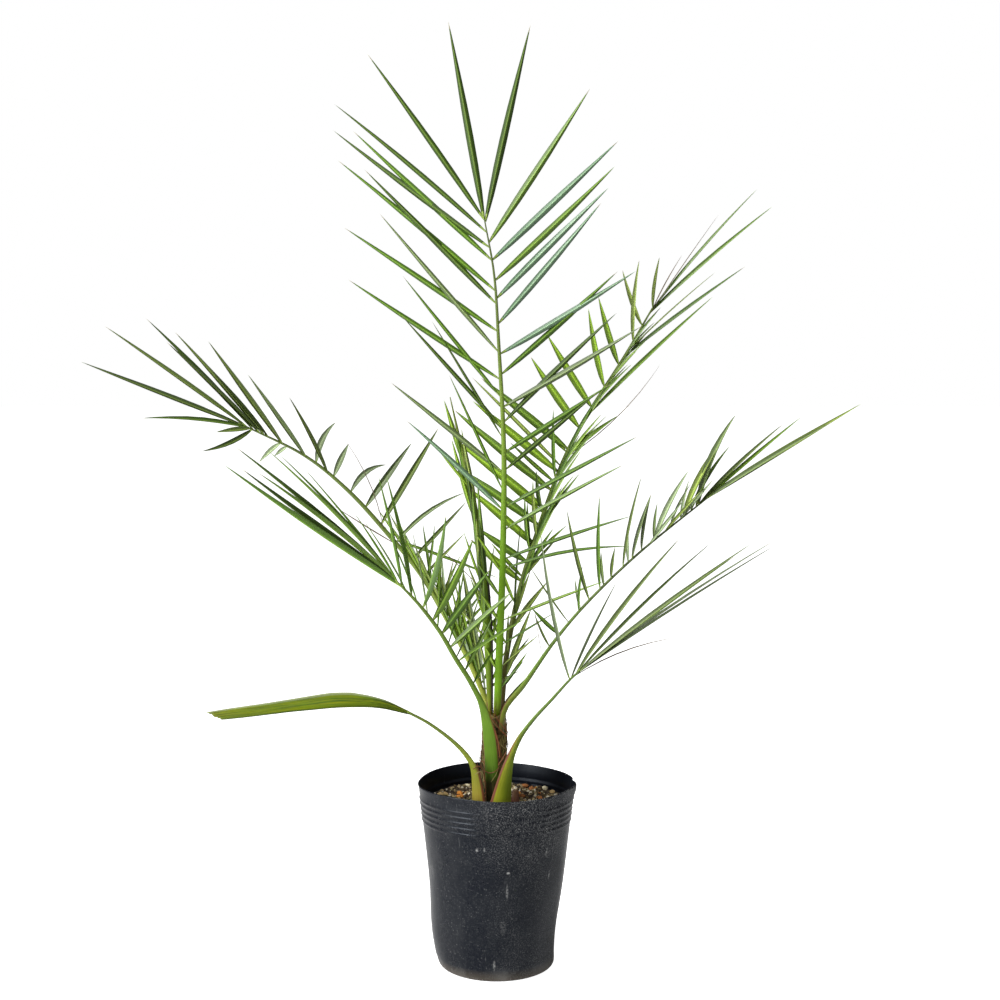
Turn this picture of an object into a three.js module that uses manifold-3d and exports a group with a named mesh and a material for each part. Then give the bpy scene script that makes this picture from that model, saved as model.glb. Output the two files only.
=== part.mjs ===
// Young Canary Island date palm in a black nursery pot.
// Millimetres, +Z up, origin at the centre of the pot's underside.
// +X is the front view's right and +Y points away from its viewer.
import * as THREE from "three";
import { mergeVertices } from "three/addons/utils/BufferGeometryUtils.js";
import Module from "manifold-3d";

const wasm = await Module();
wasm.setup();

// Driving dimensions
const CLEARANCE = 0.3; // gap between pieces that meet
const POT = {
  height: 179,
  rimRadius: 75.2,
  rimFlare: 0.5, // how far the lip stands out of the wall's straight slope
  lipHeight: 6,
  footRadius: 56.2,
  footRound: 5,
  wall: 1.4,
  sides: 40,
  ridges: 5,
  ridgePitch: 5.6,
  ridgeHeight: 0.8,
  ridgeDrop: 10, // from the rim down to the first ridge
  drainHoles: 6,
  drainRadius: 5,
  drainCircle: 34,
  drainSides: 10,
};
const SOIL_TOP = 156; // the ground level that the stem and the lowest leaf sheaths stand on
const STEM = {
  foot: [-4, 1, CLEARANCE], // x, y and height over the ground
  top: [-1, 0, 88],
  radius: [15, 13, 12.4, 12.2, 11.8, 11.4, 10.2], // evenly spaced, ground to tip
  sides: 14,
};
const RIB_SIDES = 8;
const FLAT = 1e-6; // a section curled less than this, in 1/mm, is flat
const WELD = 1e-4; // points closer than this are one
const LEAFLET = {
  thicknessShare: 1 / 90, // of its length
  widthKeys: [0.5, 1, 0.76, 0], // share of its full half width, root to tip
  fold: 0.45, // rise of the two edges over the keel, per half width
  bow: 0.012, // arch of the leaflet, as a share of its length
  pairGap: 0.36, // distance between the two of a pair, as a share of the distance between pairs
  pairSpread: 0.04, // how much longer the upper one of a pair is than their mean
  jitter: 1, // seeded spread of the leaflets' angles, in degrees
  frondSeed: 100, // seeds count up by this from frond to frond
  rowSeed: 20, // and by this from row to row
};

// Each frond has its rib's line from the sheath to the tip, as [x, y, height over the ground], the way its
// upper face looks, the half sizes of the rib's section, how tightly the sheath curls round the stem (1/mm),
// and its rows of leaflets. Keys are evenly spaced along the rib or along the row. A row's from and to are
// shares of the rib's length. Its rise is the angle in the front view from +X towards +Z and its reach the
// angle away from the viewer, in degrees, and its lengths are in mm. A row has pairs of leaflets, which splay
// apart, or single ones.
const FRONDS = [
  {
    name: "frond_front_left",
    tone: "frond",
    line: [[-6, -18, -5], [-8, -17, 54], [-12, -20, 95], [-23, -28, 123], [-38, -40, 150],
      [-52, -52, 177], [-70, -66, 204], [-88, -80, 226]],
    face: [[0.1, 0.98, 0.1], [0.3, 0.8, 0.45], [0.5, 0.6, 0.62]],
    halfWidth: [8.5, 8.8, 6.6, 3.4, 3, 2.5, 2, 1.1],
    halfDepth: [1.6, 1.6, 1.8, 2.2, 2.1, 1.8, 1.5, 0.9],
    curl: [0.066, 0.066, 0.05, 0.02, 0, 0, 0, 0],
    leafHalfWidth: 3.4,
    rows: [
      { singles: 8, from: 0.52, to: 0.93, rise: [36, 38, 41, 45, 52, 65, 77, 101],
        reach: [-14, -14, -12, -12, -14, -16], length: [56, 60, 66, 72, 77, 91, 92, 120] },
      { singles: 7, from: 0.5, to: 0.95, rise: [52, 60, 70, 84, 98, 114, 124],
        reach: [34, 34, 32, 30, 28, 24, 20], length: [52, 66, 80, 90, 98, 108, 112] },
      { singles: 5, from: 0.98, to: 1, rise: [132, 137, 139, 142, 145], reach: [8, 4, -2, -6, -11],
        length: [141, 165, 197, 198, 195], halfWidth: 4.6 },
    ],
  },
  {
    name: "frond_front_right",
    tone: "frond",
    line: [[6, -24, -5], [14.5, -26, 40], [22, -30, 66], [36, -39, 90], [52, -51, 114], [67, -64, 134],
      [76, -72, 144]],
    face: [[-0.45, 0.9, 0.1], [-0.5, 0.75, 0.4], [-0.45, 0.55, 0.7]],
    halfWidth: [12.5, 6.4, 3.7, 2.8, 2.3, 2.1, 1.4],
    halfDepth: [1.6, 2, 2.2, 2, 1.7, 1.5, 1.1],
    curl: [0.055, 0.05, 0.03, 0, 0, 0, 0],
    leafHalfWidth: 3.2,
    rows: [
      { singles: 2, from: 0.93, to: 0.95, rise: [102, 63], reach: [-10, 12], length: [132, 94] },
      { singles: 6, from: 0.975, to: 1, rise: [52, 44, 40, 37, 35, 34], reach: [14, 6, -14, 0, -5, -10],
        length: [153, 170, 198, 182, 207, 203] },
    ],
  },
  {
    name: "strap_leaf_stalk",
    tone: "strap",
    line: [[-16, -25, -5], [-20, -25, 34], [-27, -28, 51], [-42, -35, 69], [-62, -45, 89],
      [-82.5, -54.8, 102.7]],
    face: [[0.5, 0.85, 0.1], [0.45, 0.75, 0.4], [0.4, 0.5, 0.77]],
    halfWidth: [7.2, 5, 3.3, 2.2, 1.8, 1.7],
    halfDepth: [1.6, 1.8, 1.8, 1.6, 1.4, 1.2],
    curl: [0.05, 0.04, 0.02, 0, 0, 0],
    rows: [],
  },
  {
    name: "strap_leaf_blade",
    tone: "strap",
    line: [[-83.1, -55.1, 103.1], [-107, -62, 111], [-139, -70, 114], [-179, -80, 112.5],
      [-223, -92, 110], [-258, -100, 107.5]],
    face: [[0.35, 0.2, 0.8], [0.1, -0.55, 0.8], [0.05, -0.6, 0.8]],
    halfWidth: [1.9, 7.4, 10.8, 9.8, 7, 2.6],
    halfDepth: [1.2, 1, 1, 1, 1, 0.9],
    curl: [0, 0.06, 0.07, 0.07, 0.06, 0.03],
    rows: [],
  },
  {
    name: "frond_right",
    tone: "shaded",
    line: [[4.4, -11.4, 66], [8.8, -12.6, 96], [26, -15, 120], [56, -18, 164], [88, -24, 203],
      [134, -32, 249], [187, -42, 294]],
    face: [[-0.5, 0.85, 0.1], [-0.6, 0.4, 0.6], [-0.65, 0.25, 0.72]],
    halfWidth: [5, 3.8, 2.9, 2.4, 2.1, 1.7, 0.8],
    halfDepth: [1.7, 2, 2.1, 1.9, 1.7, 1.3, 0.8],
    curl: [0.06, 0.04, 0, 0, 0, 0, 0],
    leafHalfWidth: 2.6,
    rows: [
      { singles: 9, from: 0.385, to: 0.985, rise: [134, 118, 101, 90, 82, 76, 70, 67, 66],
        reach: [-14, -16, -14, -12, -8], length: [42, 76, 92, 92, 88, 68, 66, 80, 92] },
      { singles: 8, from: 0.46, to: 0.94, rise: [98, 86, 78, 67], reach: [58, 56, 52, 45],
        length: [50, 62, 70, 76] },
      { singles: 5, from: 0.98, to: 1, rise: [62, 52, 45, 40, 32], reach: [-4, 10, 4, -4, -2],
        length: [64, 98, 113, 130, 177] },
    ],
  },
  {
    name: "frond_upright",
    tone: "frond",
    line: [[0.5, -6.2, 87], [2.5, -8, 143], [6, -10, 239], [7, -12, 343], [2, -14, 446], [-2, -15, 506],
      [-11, -16, 557]],
    face: [[0, 1, 0.05], [0.05, 1, 0.05]],
    halfWidth: [4.9, 4.3, 3.4, 2.7, 2.1, 1.6, 0.7],
    halfDepth: [2.6, 2.8, 2.5, 2, 1.6, 1.2, 0.7],
    curl: [0, 0],
    leafHalfWidth: 3.7,
    rows: [
      { pairs: 8, from: 0.29, to: 0.933, rise: [125, 131, 130, 127, 138, 138, 138, 139],
        splay: [5, 5, 14, 5, 8, 7, 3, 3],
        reach: [-6, -6, -4, 0, 8, 14, 18, 20], length: [36, 90, 128, 135, 158, 177, 194, 196],
        stagger: -5 },
      { pairs: 8, from: 0.205, to: 0.905, rise: [16, 12, 27, 38, 36, 36, 47, 44],
        splay: [5, 5, 0, -1, -6, -5, -2, 0],
        reach: [4, 6, 8, 10, 14, 16, 18, 20], length: [108, 130, 137, 121, 153, 155, 159, 175],
        stagger: -5 },
      { singles: 3, from: 0.978, to: 1, rise: [139, 125, 101], reach: [20, 18, 12],
        length: [205, 207, 196] },
      { singles: 2, from: 0.956, to: 0.995, rise: [56, 76.5], reach: [18, 12], length: [189, 191] },
      { singles: 4, from: 0.1, to: 0.24, rise: [122, 126, 128, 126], reach: [-14, -12, -10, -8],
        length: [24, 28, 32, 34], halfWidth: 1.6 },
      { singles: 3, from: 0.06, to: 0.15, rise: [48, 38, 30], reach: [-8, -4, 0], length: [38, 50, 62],
        halfWidth: 1.6 },
    ],
  },
  {
    name: "frond_spear",
    tone: "young",
    line: [[-6, 1.8, 88], [-8, 3, 150], [-12, 4, 208], [-19, 6, 275], [-30, 8, 328], [-38, 10, 365],
      [-44, 11, 392]],
    face: [[0, 1, 0], [0.2, 1, 0]],
    halfWidth: [3.6, 3.8, 4.2, 3.9, 3, 1.9, 0.4],
    halfDepth: [2.8, 3.2, 3.4, 3.2, 2.6, 1.7, 0.4],
    curl: [0, 0],
    leafHalfWidth: 2.6,
    rows: [{ singles: 3, from: 0.62, to: 0.8, rise: [107, 104, 108], reach: [4, -2, 2],
      length: [78, 62, 60] }],
  },
  {
    name: "frond_back_right",
    tone: "young",
    line: [[4.6, 6, 88], [10.5, 16, 148], [24, 32, 209], [44, 52, 270], [68, 76, 331], [93, 96, 375],
      [128, 118, 428], [159, 138, 479]],
    face: [[-0.5, -0.8, 0.1], [-0.6, -0.6, 0.4], [-0.6, -0.55, 0.5]],
    halfWidth: [3.6, 3.1, 2.7, 2.3, 2, 1.6, 1.2, 0.7],
    halfDepth: [2.8, 2.7, 2.4, 2, 1.7, 1.4, 1.1, 0.7],
    curl: [0, 0],
    leafHalfWidth: 3.5,
    rows: [
      { singles: 9, from: 0.27, to: 0.598, rise: [150, 152, 150, 148, 146, 144, 142, 141],
        reach: [7, 3, 7, 3, 7, 3, 7, 3, 6], length: [44, 62, 80, 96, 106, 112, 114, 112] },
      { pairs: 3, from: 0.69, to: 0.926, rise: [124, 109, 105], splay: [-3, 3, 13], reach: [-6, -24, -35],
        length: [103, 87, 84], stagger: 2 },
      { singles: 9, from: 0.37, to: 0.885, rise: [54, 50, 46, 42, 34, 41, 46, 39, 35],
        reach: [0, 4, 6, 8, 8], length: [50, 56, 64, 72, 62, 168, 64, 137, 151], halfWidth: 2.6 },
      { singles: 5, from: 0.985, to: 1, rise: [88, 59, 47, 43, 39], reach: [-38, 16, 4, 14, 8],
        length: [62, 62, 160, 150, 170], halfWidth: 2.6 },
    ],
  },
  {
    name: "frond_back_left",
    tone: "shaded",
    line: [[-5, 8.4, 88], [-26, 16, 136], [-52, 28, 183], [-75, 40, 220], [-104, 50, 254],
      [-145, 64, 297], [-191, 80, 332], [-253, 96, 361]],
    face: [[0.3, -0.9, 0.2], [0.4, -0.6, 0.6], [0.45, -0.35, 0.8]],
    halfWidth: [3.6, 3.1, 2.7, 2.4, 2.1, 1.7, 1.3, 0.7],
    halfDepth: [2.6, 2.6, 2.3, 2, 1.7, 1.4, 1.1, 0.7],
    curl: [0, 0],
    leafHalfWidth: 2.6,
    rows: [
      { singles: 9, from: 0.3, to: 0.785, rise: [30, 34, 40, 40, 62, 53, 36, 66, 70],
        reach: [6, 8, 8, 10, 12, 20, 48, 58, 60], length: [70, 76, 80, 85, 112, 85, 62, 64, 78] },
      { singles: 5, from: 0.753, to: 0.972, rise: [114, 123, 126, 130, 133], reach: [-10, -8, -6, -3, 0],
        length: [77, 97, 124, 135, 152] },
      { singles: 1, from: 0.892, to: 0.892, rise: [134], reach: [-6], length: [105] },
      { singles: 4, from: 0.22, to: 0.56, rise: [112, 118, 124, 128], reach: [26, 26, 24, 22],
        length: [64, 78, 86, 88] },
      { singles: 1, from: 0.494, to: 0.494, rise: [340], reach: [2], length: [110] },
      { singles: 2, from: 0.89, to: 0.92, rise: [223, 214], reach: [26, 26], length: [32, 22] },
      { singles: 5, from: 0.966, to: 0.997, rise: [200, 184, 175, 159, 146], reach: [-20, -24, -10, 0, 2],
        length: [56, 42, 109, 169, 175] },
    ],
  },
];

const COLOURS = {
  pot: [0x22252b, 0.55],
  soil: [0x5b4a38, 0.95],
  stem: [0x5a3f2a, 0.9],
  frond: [0x5a8232, 0.45],
  young: [0x7d9c35, 0.45],
  shaded: [0x4a6836, 0.5],
  strap: [0x7b9a26, 0.45],
};

// Value at u, from 0 to 1, along a list of evenly spaced keys
function keyed(keys, u) {
  const place = THREE.MathUtils.clamp(u, 0, 1) * (keys.length - 1);
  const index = Math.max(0, Math.min(Math.floor(place), keys.length - 2));
  return THREE.MathUtils.lerp(keys[index], keys[Math.min(index + 1, keys.length - 1)], place - index);
}

function keyedVector(keys, u) {
  return new THREE.Vector3(...[0, 1, 2].map((axis) => keyed(keys.map((key) => key[axis]), u)));
}

const radians = THREE.MathUtils.degToRad;

function overGround([x, y, height]) {
  return new THREE.Vector3(x, y, SOIL_TOP + height);
}

// Seeded value from -1 to 1
function scatter(a, b) {
  const wave = Math.sin(a * 12.9898 + b * 78.233) * 43758.5453;
  return 2 * (wave - Math.floor(wave)) - 1;
}

// A geometry whose points are moved by place(unit x, unit z, share of the height)
function warped(geometry, place) {
  const position = geometry.getAttribute("position");
  const height = geometry.parameters.height;
  for (let i = 0; i < position.count; i += 1) {
    const x = position.getX(i);
    const z = position.getZ(i);
    const span = Math.hypot(x, z) || 1;
    const share = position.getY(i) / height + 0.5;
    const moved = place(x / span, z / span, share);
    position.setXYZ(i, moved.x, moved.y, moved.z);
  }
  return geometry;
}

function solidOf(geometry) {
  geometry.deleteAttribute("normal");
  geometry.deleteAttribute("uv");
  const merged = mergeVertices(geometry, WELD);
  return new wasm.Manifold(
    new wasm.Mesh({
      numProp: 3,
      vertProperties: merged.getAttribute("position").array,
      triVerts: new Uint32Array(merged.index.array),
    }),
  );
}

function meshOf(name, solid, [colour, roughness]) {
  const made = solid.getMesh();
  const geometry = new THREE.BufferGeometry();
  geometry.setAttribute("position", new THREE.BufferAttribute(made.vertProperties, 3));
  geometry.setIndex(new THREE.BufferAttribute(made.triVerts, 1));
  geometry.computeVertexNormals();
  const material = new THREE.MeshStandardMaterial({ color: colour, roughness, metalness: 0 });
  const mesh = new THREE.Mesh(geometry, material);
  mesh.name = name;
  return mesh;
}

// Turned about Z from a profile of [radius, height] points that starts and ends on the axis
function turned(profile, sides) {
  const points = profile.map(([radius, height]) => new THREE.Vector2(radius, height));
  return new THREE.LatheGeometry(points, sides).rotateX(Math.PI / 2);
}

// Pot

function potOuterRadius(height) {
  const slope = (POT.rimRadius - POT.rimFlare - POT.footRadius) / (POT.height - POT.footRound);
  return POT.footRadius + slope * (height - POT.footRound);
}

function potInnerRadius(height) {
  return potOuterRadius(height) - POT.wall;
}

function makePot() {
  const outside = [[0, 0], [POT.footRadius - POT.footRound, 0]];
  for (const turn of [Math.PI / 4, Math.PI / 2]) {
    const inset = POT.footRound * (1 - Math.sin(turn));
    outside.push([POT.footRadius - inset, POT.footRound * (1 - Math.cos(turn))]);
  }
  for (let ridge = POT.ridges - 1; ridge >= 0; ridge -= 1) {
    const crest = POT.height - POT.ridgeDrop - ridge * POT.ridgePitch;
    const valley = crest - POT.ridgePitch / 2;
    outside.push([potOuterRadius(valley), valley]);
    outside.push([potOuterRadius(crest) + POT.ridgeHeight, crest]);
  }
  const lip = POT.height - POT.lipHeight;
  outside.push([potOuterRadius(lip), lip], [POT.rimRadius, POT.height]);
  const floorTop = POT.wall;
  const inside = [
    [POT.rimRadius - POT.wall, POT.height],
    [potInnerRadius(lip), lip],
    [potInnerRadius(POT.footRound + POT.wall), POT.footRound + POT.wall],
    [POT.footRadius - POT.footRound, floorTop],
    [0, floorTop],
  ];
  const shell = solidOf(turned([...outside, ...inside], POT.sides));
  const holes = Array.from({ length: POT.drainHoles }, (_, index) => {
    const angle = (index * 2 * Math.PI) / POT.drainHoles;
    const hole = new THREE.CylinderGeometry(POT.drainRadius, POT.drainRadius, 4 * POT.wall, POT.drainSides);
    hole.rotateX(Math.PI / 2);
    hole.translate(POT.drainCircle * Math.cos(angle), POT.drainCircle * Math.sin(angle), 0);
    return solidOf(hole);
  });
  return holes.reduce((pot, hole) => pot.subtract(hole), shell);
}

function makeSoil() {
  const bottom = POT.wall + CLEARANCE;
  const shoulder = POT.footRound + POT.wall;
  return solidOf(
    turned(
      [
        [0, bottom],
        [POT.footRadius - POT.footRound - CLEARANCE, bottom],
        [potInnerRadius(shoulder) - CLEARANCE, shoulder],
        [potInnerRadius(SOIL_TOP) - CLEARANCE, SOIL_TOP],
        [0, SOIL_TOP],
      ],
      POT.sides,
    ),
  );
}

// Stem

function makeStem(grow) {
  const foot = overGround(STEM.foot);
  const top = overGround(STEM.top);
  top.z += grow;
  const round = new THREE.CylinderGeometry(1, 1, 1, STEM.sides, STEM.radius.length - 1);
  return solidOf(
    warped(round, (x, z, share) => {
      const radius = keyed(STEM.radius, share) + grow;
      return foot.clone().lerp(top, share).add(new THREE.Vector3(z * radius, x * radius, 0));
    }),
  );
}

// Fronds

const curves = new Map(
  FRONDS.map((frond) => {
    const points = frond.line.map(overGround);
    return [frond.name, new THREE.CatmullRomCurve3(points, false, "catmullrom", 0.5)];
  }),
);

// Place, upper side and left or right of a frond's rib at a share of its length
function ribAt(frond, share) {
  const curve = curves.get(frond.name);
  const origin = curve.getPointAt(share);
  const along = curve.getTangentAt(share);
  const up = keyedVector(frond.face, share).projectOnPlane(along).normalize();
  const side = along.cross(up);
  return { origin, up, side };
}

// The sheath, stalk and rib of a frond as one tapering limb, its section curled round the stem at the foot
function makeRib(frond, grow) {
  const steps = 2 * (frond.line.length - 1);
  const round = new THREE.CylinderGeometry(1, 1, 1, RIB_SIDES, steps);
  return solidOf(
    warped(round, (x, z, share) => {
      const { origin, up, side } = ribAt(frond, share);
      const across = x * (keyed(frond.halfWidth, share) + grow);
      const depth = z * (keyed(frond.halfDepth, share) + grow);
      const curl = keyed(frond.curl, share);
      const turn = across * curl;
      const sideways = curl > FLAT ? Math.sin(turn) / curl : across;
      const inward = curl > FLAT ? (1 - Math.cos(turn)) / curl : 0;
      return origin
        .addScaledVector(side, sideways - depth * Math.sin(turn))
        .addScaledVector(up, inward + depth * Math.cos(turn));
    }),
  );
}

// One folded leaflet: a keeled blade with four corners to its section, widest at a third of its length
function makeLeaflet(root, direction, up, length, halfWidth) {
  const normal = up.clone().projectOnPlane(direction).normalize();
  const side = direction.clone().cross(normal);
  const thickness = length * LEAFLET.thicknessShare;
  const cone = new THREE.ConeGeometry(1, 1, 4, LEAFLET.widthKeys.length - 1);
  return solidOf(
    warped(cone, (x, z, share) => {
      const width = halfWidth * keyed(LEAFLET.widthKeys, share);
      const taper = 1 - share ** 3;
      const arch = LEAFLET.bow * length * 4 * share * (1 - share);
      const lift = Math.abs(x) * width * LEAFLET.fold + (z * thickness * taper) / 2;
      return root
        .clone()
        .addScaledVector(direction, length * share)
        .addScaledVector(side, x * width)
        .addScaledVector(normal, lift + arch);
    }),
  );
}

// The places of a row's leaflets: share of the row, share of the rib's length, and the side of its pair
function placesOf(row) {
  const groups = row.pairs ?? row.singles;
  const pitch = groups > 1 ? 1 / (groups - 1) : 0;
  const members = row.pairs ? [-1, 1] : [0];
  return Array.from({ length: groups }, (_, group) => group * pitch).flatMap((u) =>
    members.map((member) => {
      const shift = (member * LEAFLET.pairGap * pitch) / 2;
      return { u, share: Math.min(1, THREE.MathUtils.lerp(row.from, row.to, u + shift)), member };
    }),
  );
}

function makeLeaflets(frond, frondIndex) {
  return frond.rows.flatMap((row, rowIndex) =>
    placesOf(row).map(({ u, share, member }, index) => {
      const seed = LEAFLET.frondSeed * frondIndex + LEAFLET.rowSeed * rowIndex + index;
      const splay = row.splay ? member * keyed(row.splay, u) : 0;
      const stagger = row.stagger ? member * row.stagger : 0;
      const rise = radians(keyed(row.rise, u) + splay + LEAFLET.jitter * scatter(seed, 1));
      const reach = radians(keyed(row.reach, u) + stagger + LEAFLET.jitter * scatter(seed, 2));
      const direction = new THREE.Vector3(
        Math.cos(reach) * Math.cos(rise),
        Math.sin(reach),
        Math.cos(reach) * Math.sin(rise),
      );
      const { origin, up } = ribAt(frond, share);
      const length = keyed(row.length, u) * (1 + member * LEAFLET.pairSpread);
      return makeLeaflet(origin, direction, up, length, row.halfWidth ?? frond.leafHalfWidth);
    }),
  );
}

function makeGround() {
  const block = new THREE.BoxGeometry(2 * POT.rimRadius, 2 * POT.rimRadius, SOIL_TOP);
  block.translate(0, 0, SOIL_TOP / 2 + CLEARANCE);
  return solidOf(block);
}

// Assembly: each limb is cut clear of the ground, the stem and the limbs made before it
const palm = new THREE.Group();
palm.add(meshOf("pot", makePot(), COLOURS.pot));
palm.add(meshOf("soil", makeSoil(), COLOURS.soil));
palm.add(meshOf("stem", makeStem(0), COLOURS.stem));

const taken = [makeGround(), makeStem(CLEARANCE)];
FRONDS.forEach((frond, frondIndex) => {
  const whole = wasm.Manifold.union([makeRib(frond, 0), ...makeLeaflets(frond, frondIndex)]);
  const cut = taken.reduce((limb, other) => limb.subtract(other), whole);
  const [largest] = cut.decompose().sort((a, b) => b.volume() - a.volume());
  taken.push(makeRib(frond, CLEARANCE));
  palm.add(meshOf(frond.name, largest, COLOURS[frond.tone]));
});

export default palm;
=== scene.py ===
import math

import bmesh
import bpy
import numpy as np
from mathutils import Matrix, Vector


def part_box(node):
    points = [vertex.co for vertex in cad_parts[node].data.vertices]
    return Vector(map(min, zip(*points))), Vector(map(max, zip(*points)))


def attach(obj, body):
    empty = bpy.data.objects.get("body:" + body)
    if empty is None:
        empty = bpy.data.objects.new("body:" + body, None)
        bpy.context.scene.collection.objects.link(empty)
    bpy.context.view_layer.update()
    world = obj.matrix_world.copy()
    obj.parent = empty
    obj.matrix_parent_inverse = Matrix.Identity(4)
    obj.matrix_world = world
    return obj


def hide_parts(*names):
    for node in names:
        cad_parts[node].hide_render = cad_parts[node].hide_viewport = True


# Young date palm in a nursery pot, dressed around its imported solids. Plant sizes are in mm over the ground.
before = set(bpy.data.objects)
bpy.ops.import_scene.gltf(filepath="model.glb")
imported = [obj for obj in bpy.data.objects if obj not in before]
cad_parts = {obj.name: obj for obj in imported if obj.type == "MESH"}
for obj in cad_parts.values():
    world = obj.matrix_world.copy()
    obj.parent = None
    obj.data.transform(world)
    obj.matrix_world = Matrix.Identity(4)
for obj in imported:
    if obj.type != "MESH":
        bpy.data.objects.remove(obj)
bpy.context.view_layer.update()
mm = 0.001
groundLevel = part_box("soil")[1].z
print("frame loaded, ground level", round(groundLevel, 4))


# camera, at the photo's place
camera = {
    "place": (0.0034, -1.6, 0.596),
    "pitchDown": 0.0905,  # radians under the horizon
    "lens": 60.97,
    "sensor": 36,
}


def addObject(name, data):
    made = bpy.data.objects.new(name, data)
    bpy.context.scene.collection.objects.link(made)
    return made


def placeCamera(values):
    data = bpy.data.cameras.new("studioCamera")
    data.lens = values["lens"]
    data.sensor_width = values["sensor"]
    data.clip_start, data.clip_end = 0.05, 50
    eye = addObject("studioCamera", data)
    eye.location = values["place"]
    eye.rotation_euler = (math.pi / 2 - values["pitchDown"], 0, 0)
    bpy.context.scene.camera = eye


placeCamera(camera)
print("camera placed")


# small tools

def shade(red, green, blue):
    # a colour as read on screen, 0 to 255, turned to linear light
    def linear(value):
        value = value / 255
        return value / 12.92 if value <= 0.04045 else ((value + 0.055) / 1.055) ** 2.4
    return (linear(red), linear(green), linear(blue), 1)


def shades(*colours):
    return [shade(*colour) for colour in colours]


def tints(*stops):
    # colours at shares of a piece's length
    return [(share, shade(*colour)) for share, *colour in stops]


def dimmed(colour, factor):
    return (*(factor * value for value in colour[:3]), 1)


def keyed(keys, share):
    # value along a list of evenly spaced keys
    return float(np.interp(min(max(share, 0), 1) * (len(keys) - 1), range(len(keys)), keys))


def keyedVector(keys, share):
    return Vector([keyed(axis, share) for axis in zip(*keys)])


def scatter(a, b):
    # seeded value from -1 to 1
    wave = math.sin(a * 12.9898 + b * 78.233) * 43758.5453
    return 2 * (wave - math.floor(wave)) - 1


def overGround(x, y, height):
    return Vector((x * mm, y * mm, groundLevel + height * mm))


lineSteps = 200  # samples that measure a line
nudge = 1e-4  # step that reads its direction


def lineOf(points):
    # a smooth line through points, read by shares of its length
    places = [overGround(*point) for point in points]
    spans = len(places) - 1
    padded = [2 * places[0] - places[1], *places, 2 * places[-1] - places[-2]]

    def at(t):
        span = min(int(t * spans), spans - 1)
        w = t * spans - span
        before, start, end, after = padded[span:span + 4]
        bend = start * (2 * w**3 - 3 * w**2 + 1) + end * (3 * w**2 - 2 * w**3)
        return bend + (end - before) / 2 * (w**3 - 2 * w**2 + w) + (after - start) / 2 * (w**3 - w**2)

    steps = [i / lineSteps for i in range(lineSteps + 1)]
    dots = [at(t) for t in steps]
    lengths = np.cumsum([0] + [(b - a).length for a, b in zip(dots, dots[1:])])

    def byShare(share):
        t = float(np.interp(share * lengths[-1], lengths, steps))
        ahead, behind = at(min(t + nudge, 1)), at(max(t - nudge, 0))
        return at(t), (ahead - behind).normalized()
    return byShare


def addPiece(name, mesh, materials, nodes=(), smooth=True):
    # links a finished mesh, and ties it to the frame
    for material in materials:
        mesh.materials.append(material)
    mesh.polygons.foreach_set("use_smooth", [smooth] * len(mesh.polygons))
    piece = addObject(name, mesh)
    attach(piece, "root")
    if nodes:
        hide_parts(*nodes)
    return piece


def meshFrom(name, bm):
    mesh = bpy.data.meshes.new(name)
    bm.to_mesh(mesh)
    bm.free()
    return mesh


def writeValues(mesh, name, values):
    # one number for each point, for a material to read
    attribute = mesh.attributes.new(name, "FLOAT", "POINT")
    attribute.data.foreach_set("value", np.asarray(values, np.float32))


def writePlaces(mesh, along, across, seed):
    # where each point lies along and across its piece
    writeValues(mesh, "along", along)
    writeValues(mesh, "across", across)
    writeValues(mesh, "seed", [seed] * len(along))


def spunFrom(profile, turns):
    # a round body from the radius and height, in mm, of its outline
    bm = bmesh.new()
    verts = [bm.verts.new((radius * mm, 0, height * mm)) for radius, height in profile]
    edges = [bm.edges.new(pair) for pair in zip(verts, verts[1:])]
    bmesh.ops.spin(bm, geom=verts + edges, cent=(0, 0, 0), axis=(0, 0, 1), angle=2 * math.pi,
                   steps=turns, use_merge=True)
    bmesh.ops.remove_doubles(bm, verts=bm.verts, dist=1e-6)
    bmesh.ops.recalc_face_normals(bm, faces=bm.faces)
    return bm


def barOf(sides, rows):
    # an upright bar of height one, cut into rows, to be bent point by point
    bm = bmesh.new()
    bmesh.ops.create_cone(bm, cap_ends=True, segments=sides, radius1=1, radius2=1, depth=1)
    uprights = [edge for edge in bm.edges if abs(edge.verts[0].co.z - edge.verts[1].co.z) > 0.5]
    bmesh.ops.subdivide_edges(bm, edges=uprights, cuts=rows - 1)
    return bm


class Joined:
    # many small shapes gathered as arrays into one mesh
    def __init__(self):
        self.points, self.faces, self.slots = [], [], []
        self.values = {}
        self.count = 0

    def add(self, points, faces, slots, **values):
        self.points.append(np.asarray(points, float))
        self.faces += [tuple(int(i) + self.count for i in face) for face in faces]
        self.slots += list(slots)
        for key, value in values.items():
            self.values.setdefault(key, []).append(np.asarray(value, float))
        self.count += len(points)

    def mesh(self, name):
        made = bpy.data.meshes.new(name)
        made.from_pydata(np.concatenate(self.points).tolist(), [], self.faces)
        made.polygons.foreach_set("material_index", self.slots)
        for key, value in self.values.items():
            writeValues(made, key, np.concatenate(value))
        made.update()
        return made


def ringFaces(rings, count):
    # the quads between rings of so many points each
    faces = []
    for start in range(0, (rings - 1) * count, count):
        for k in range(count):
            a, b = start + k, start + (k + 1) % count
            faces.append((a, b, b + count, a + count))
    return faces


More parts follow.
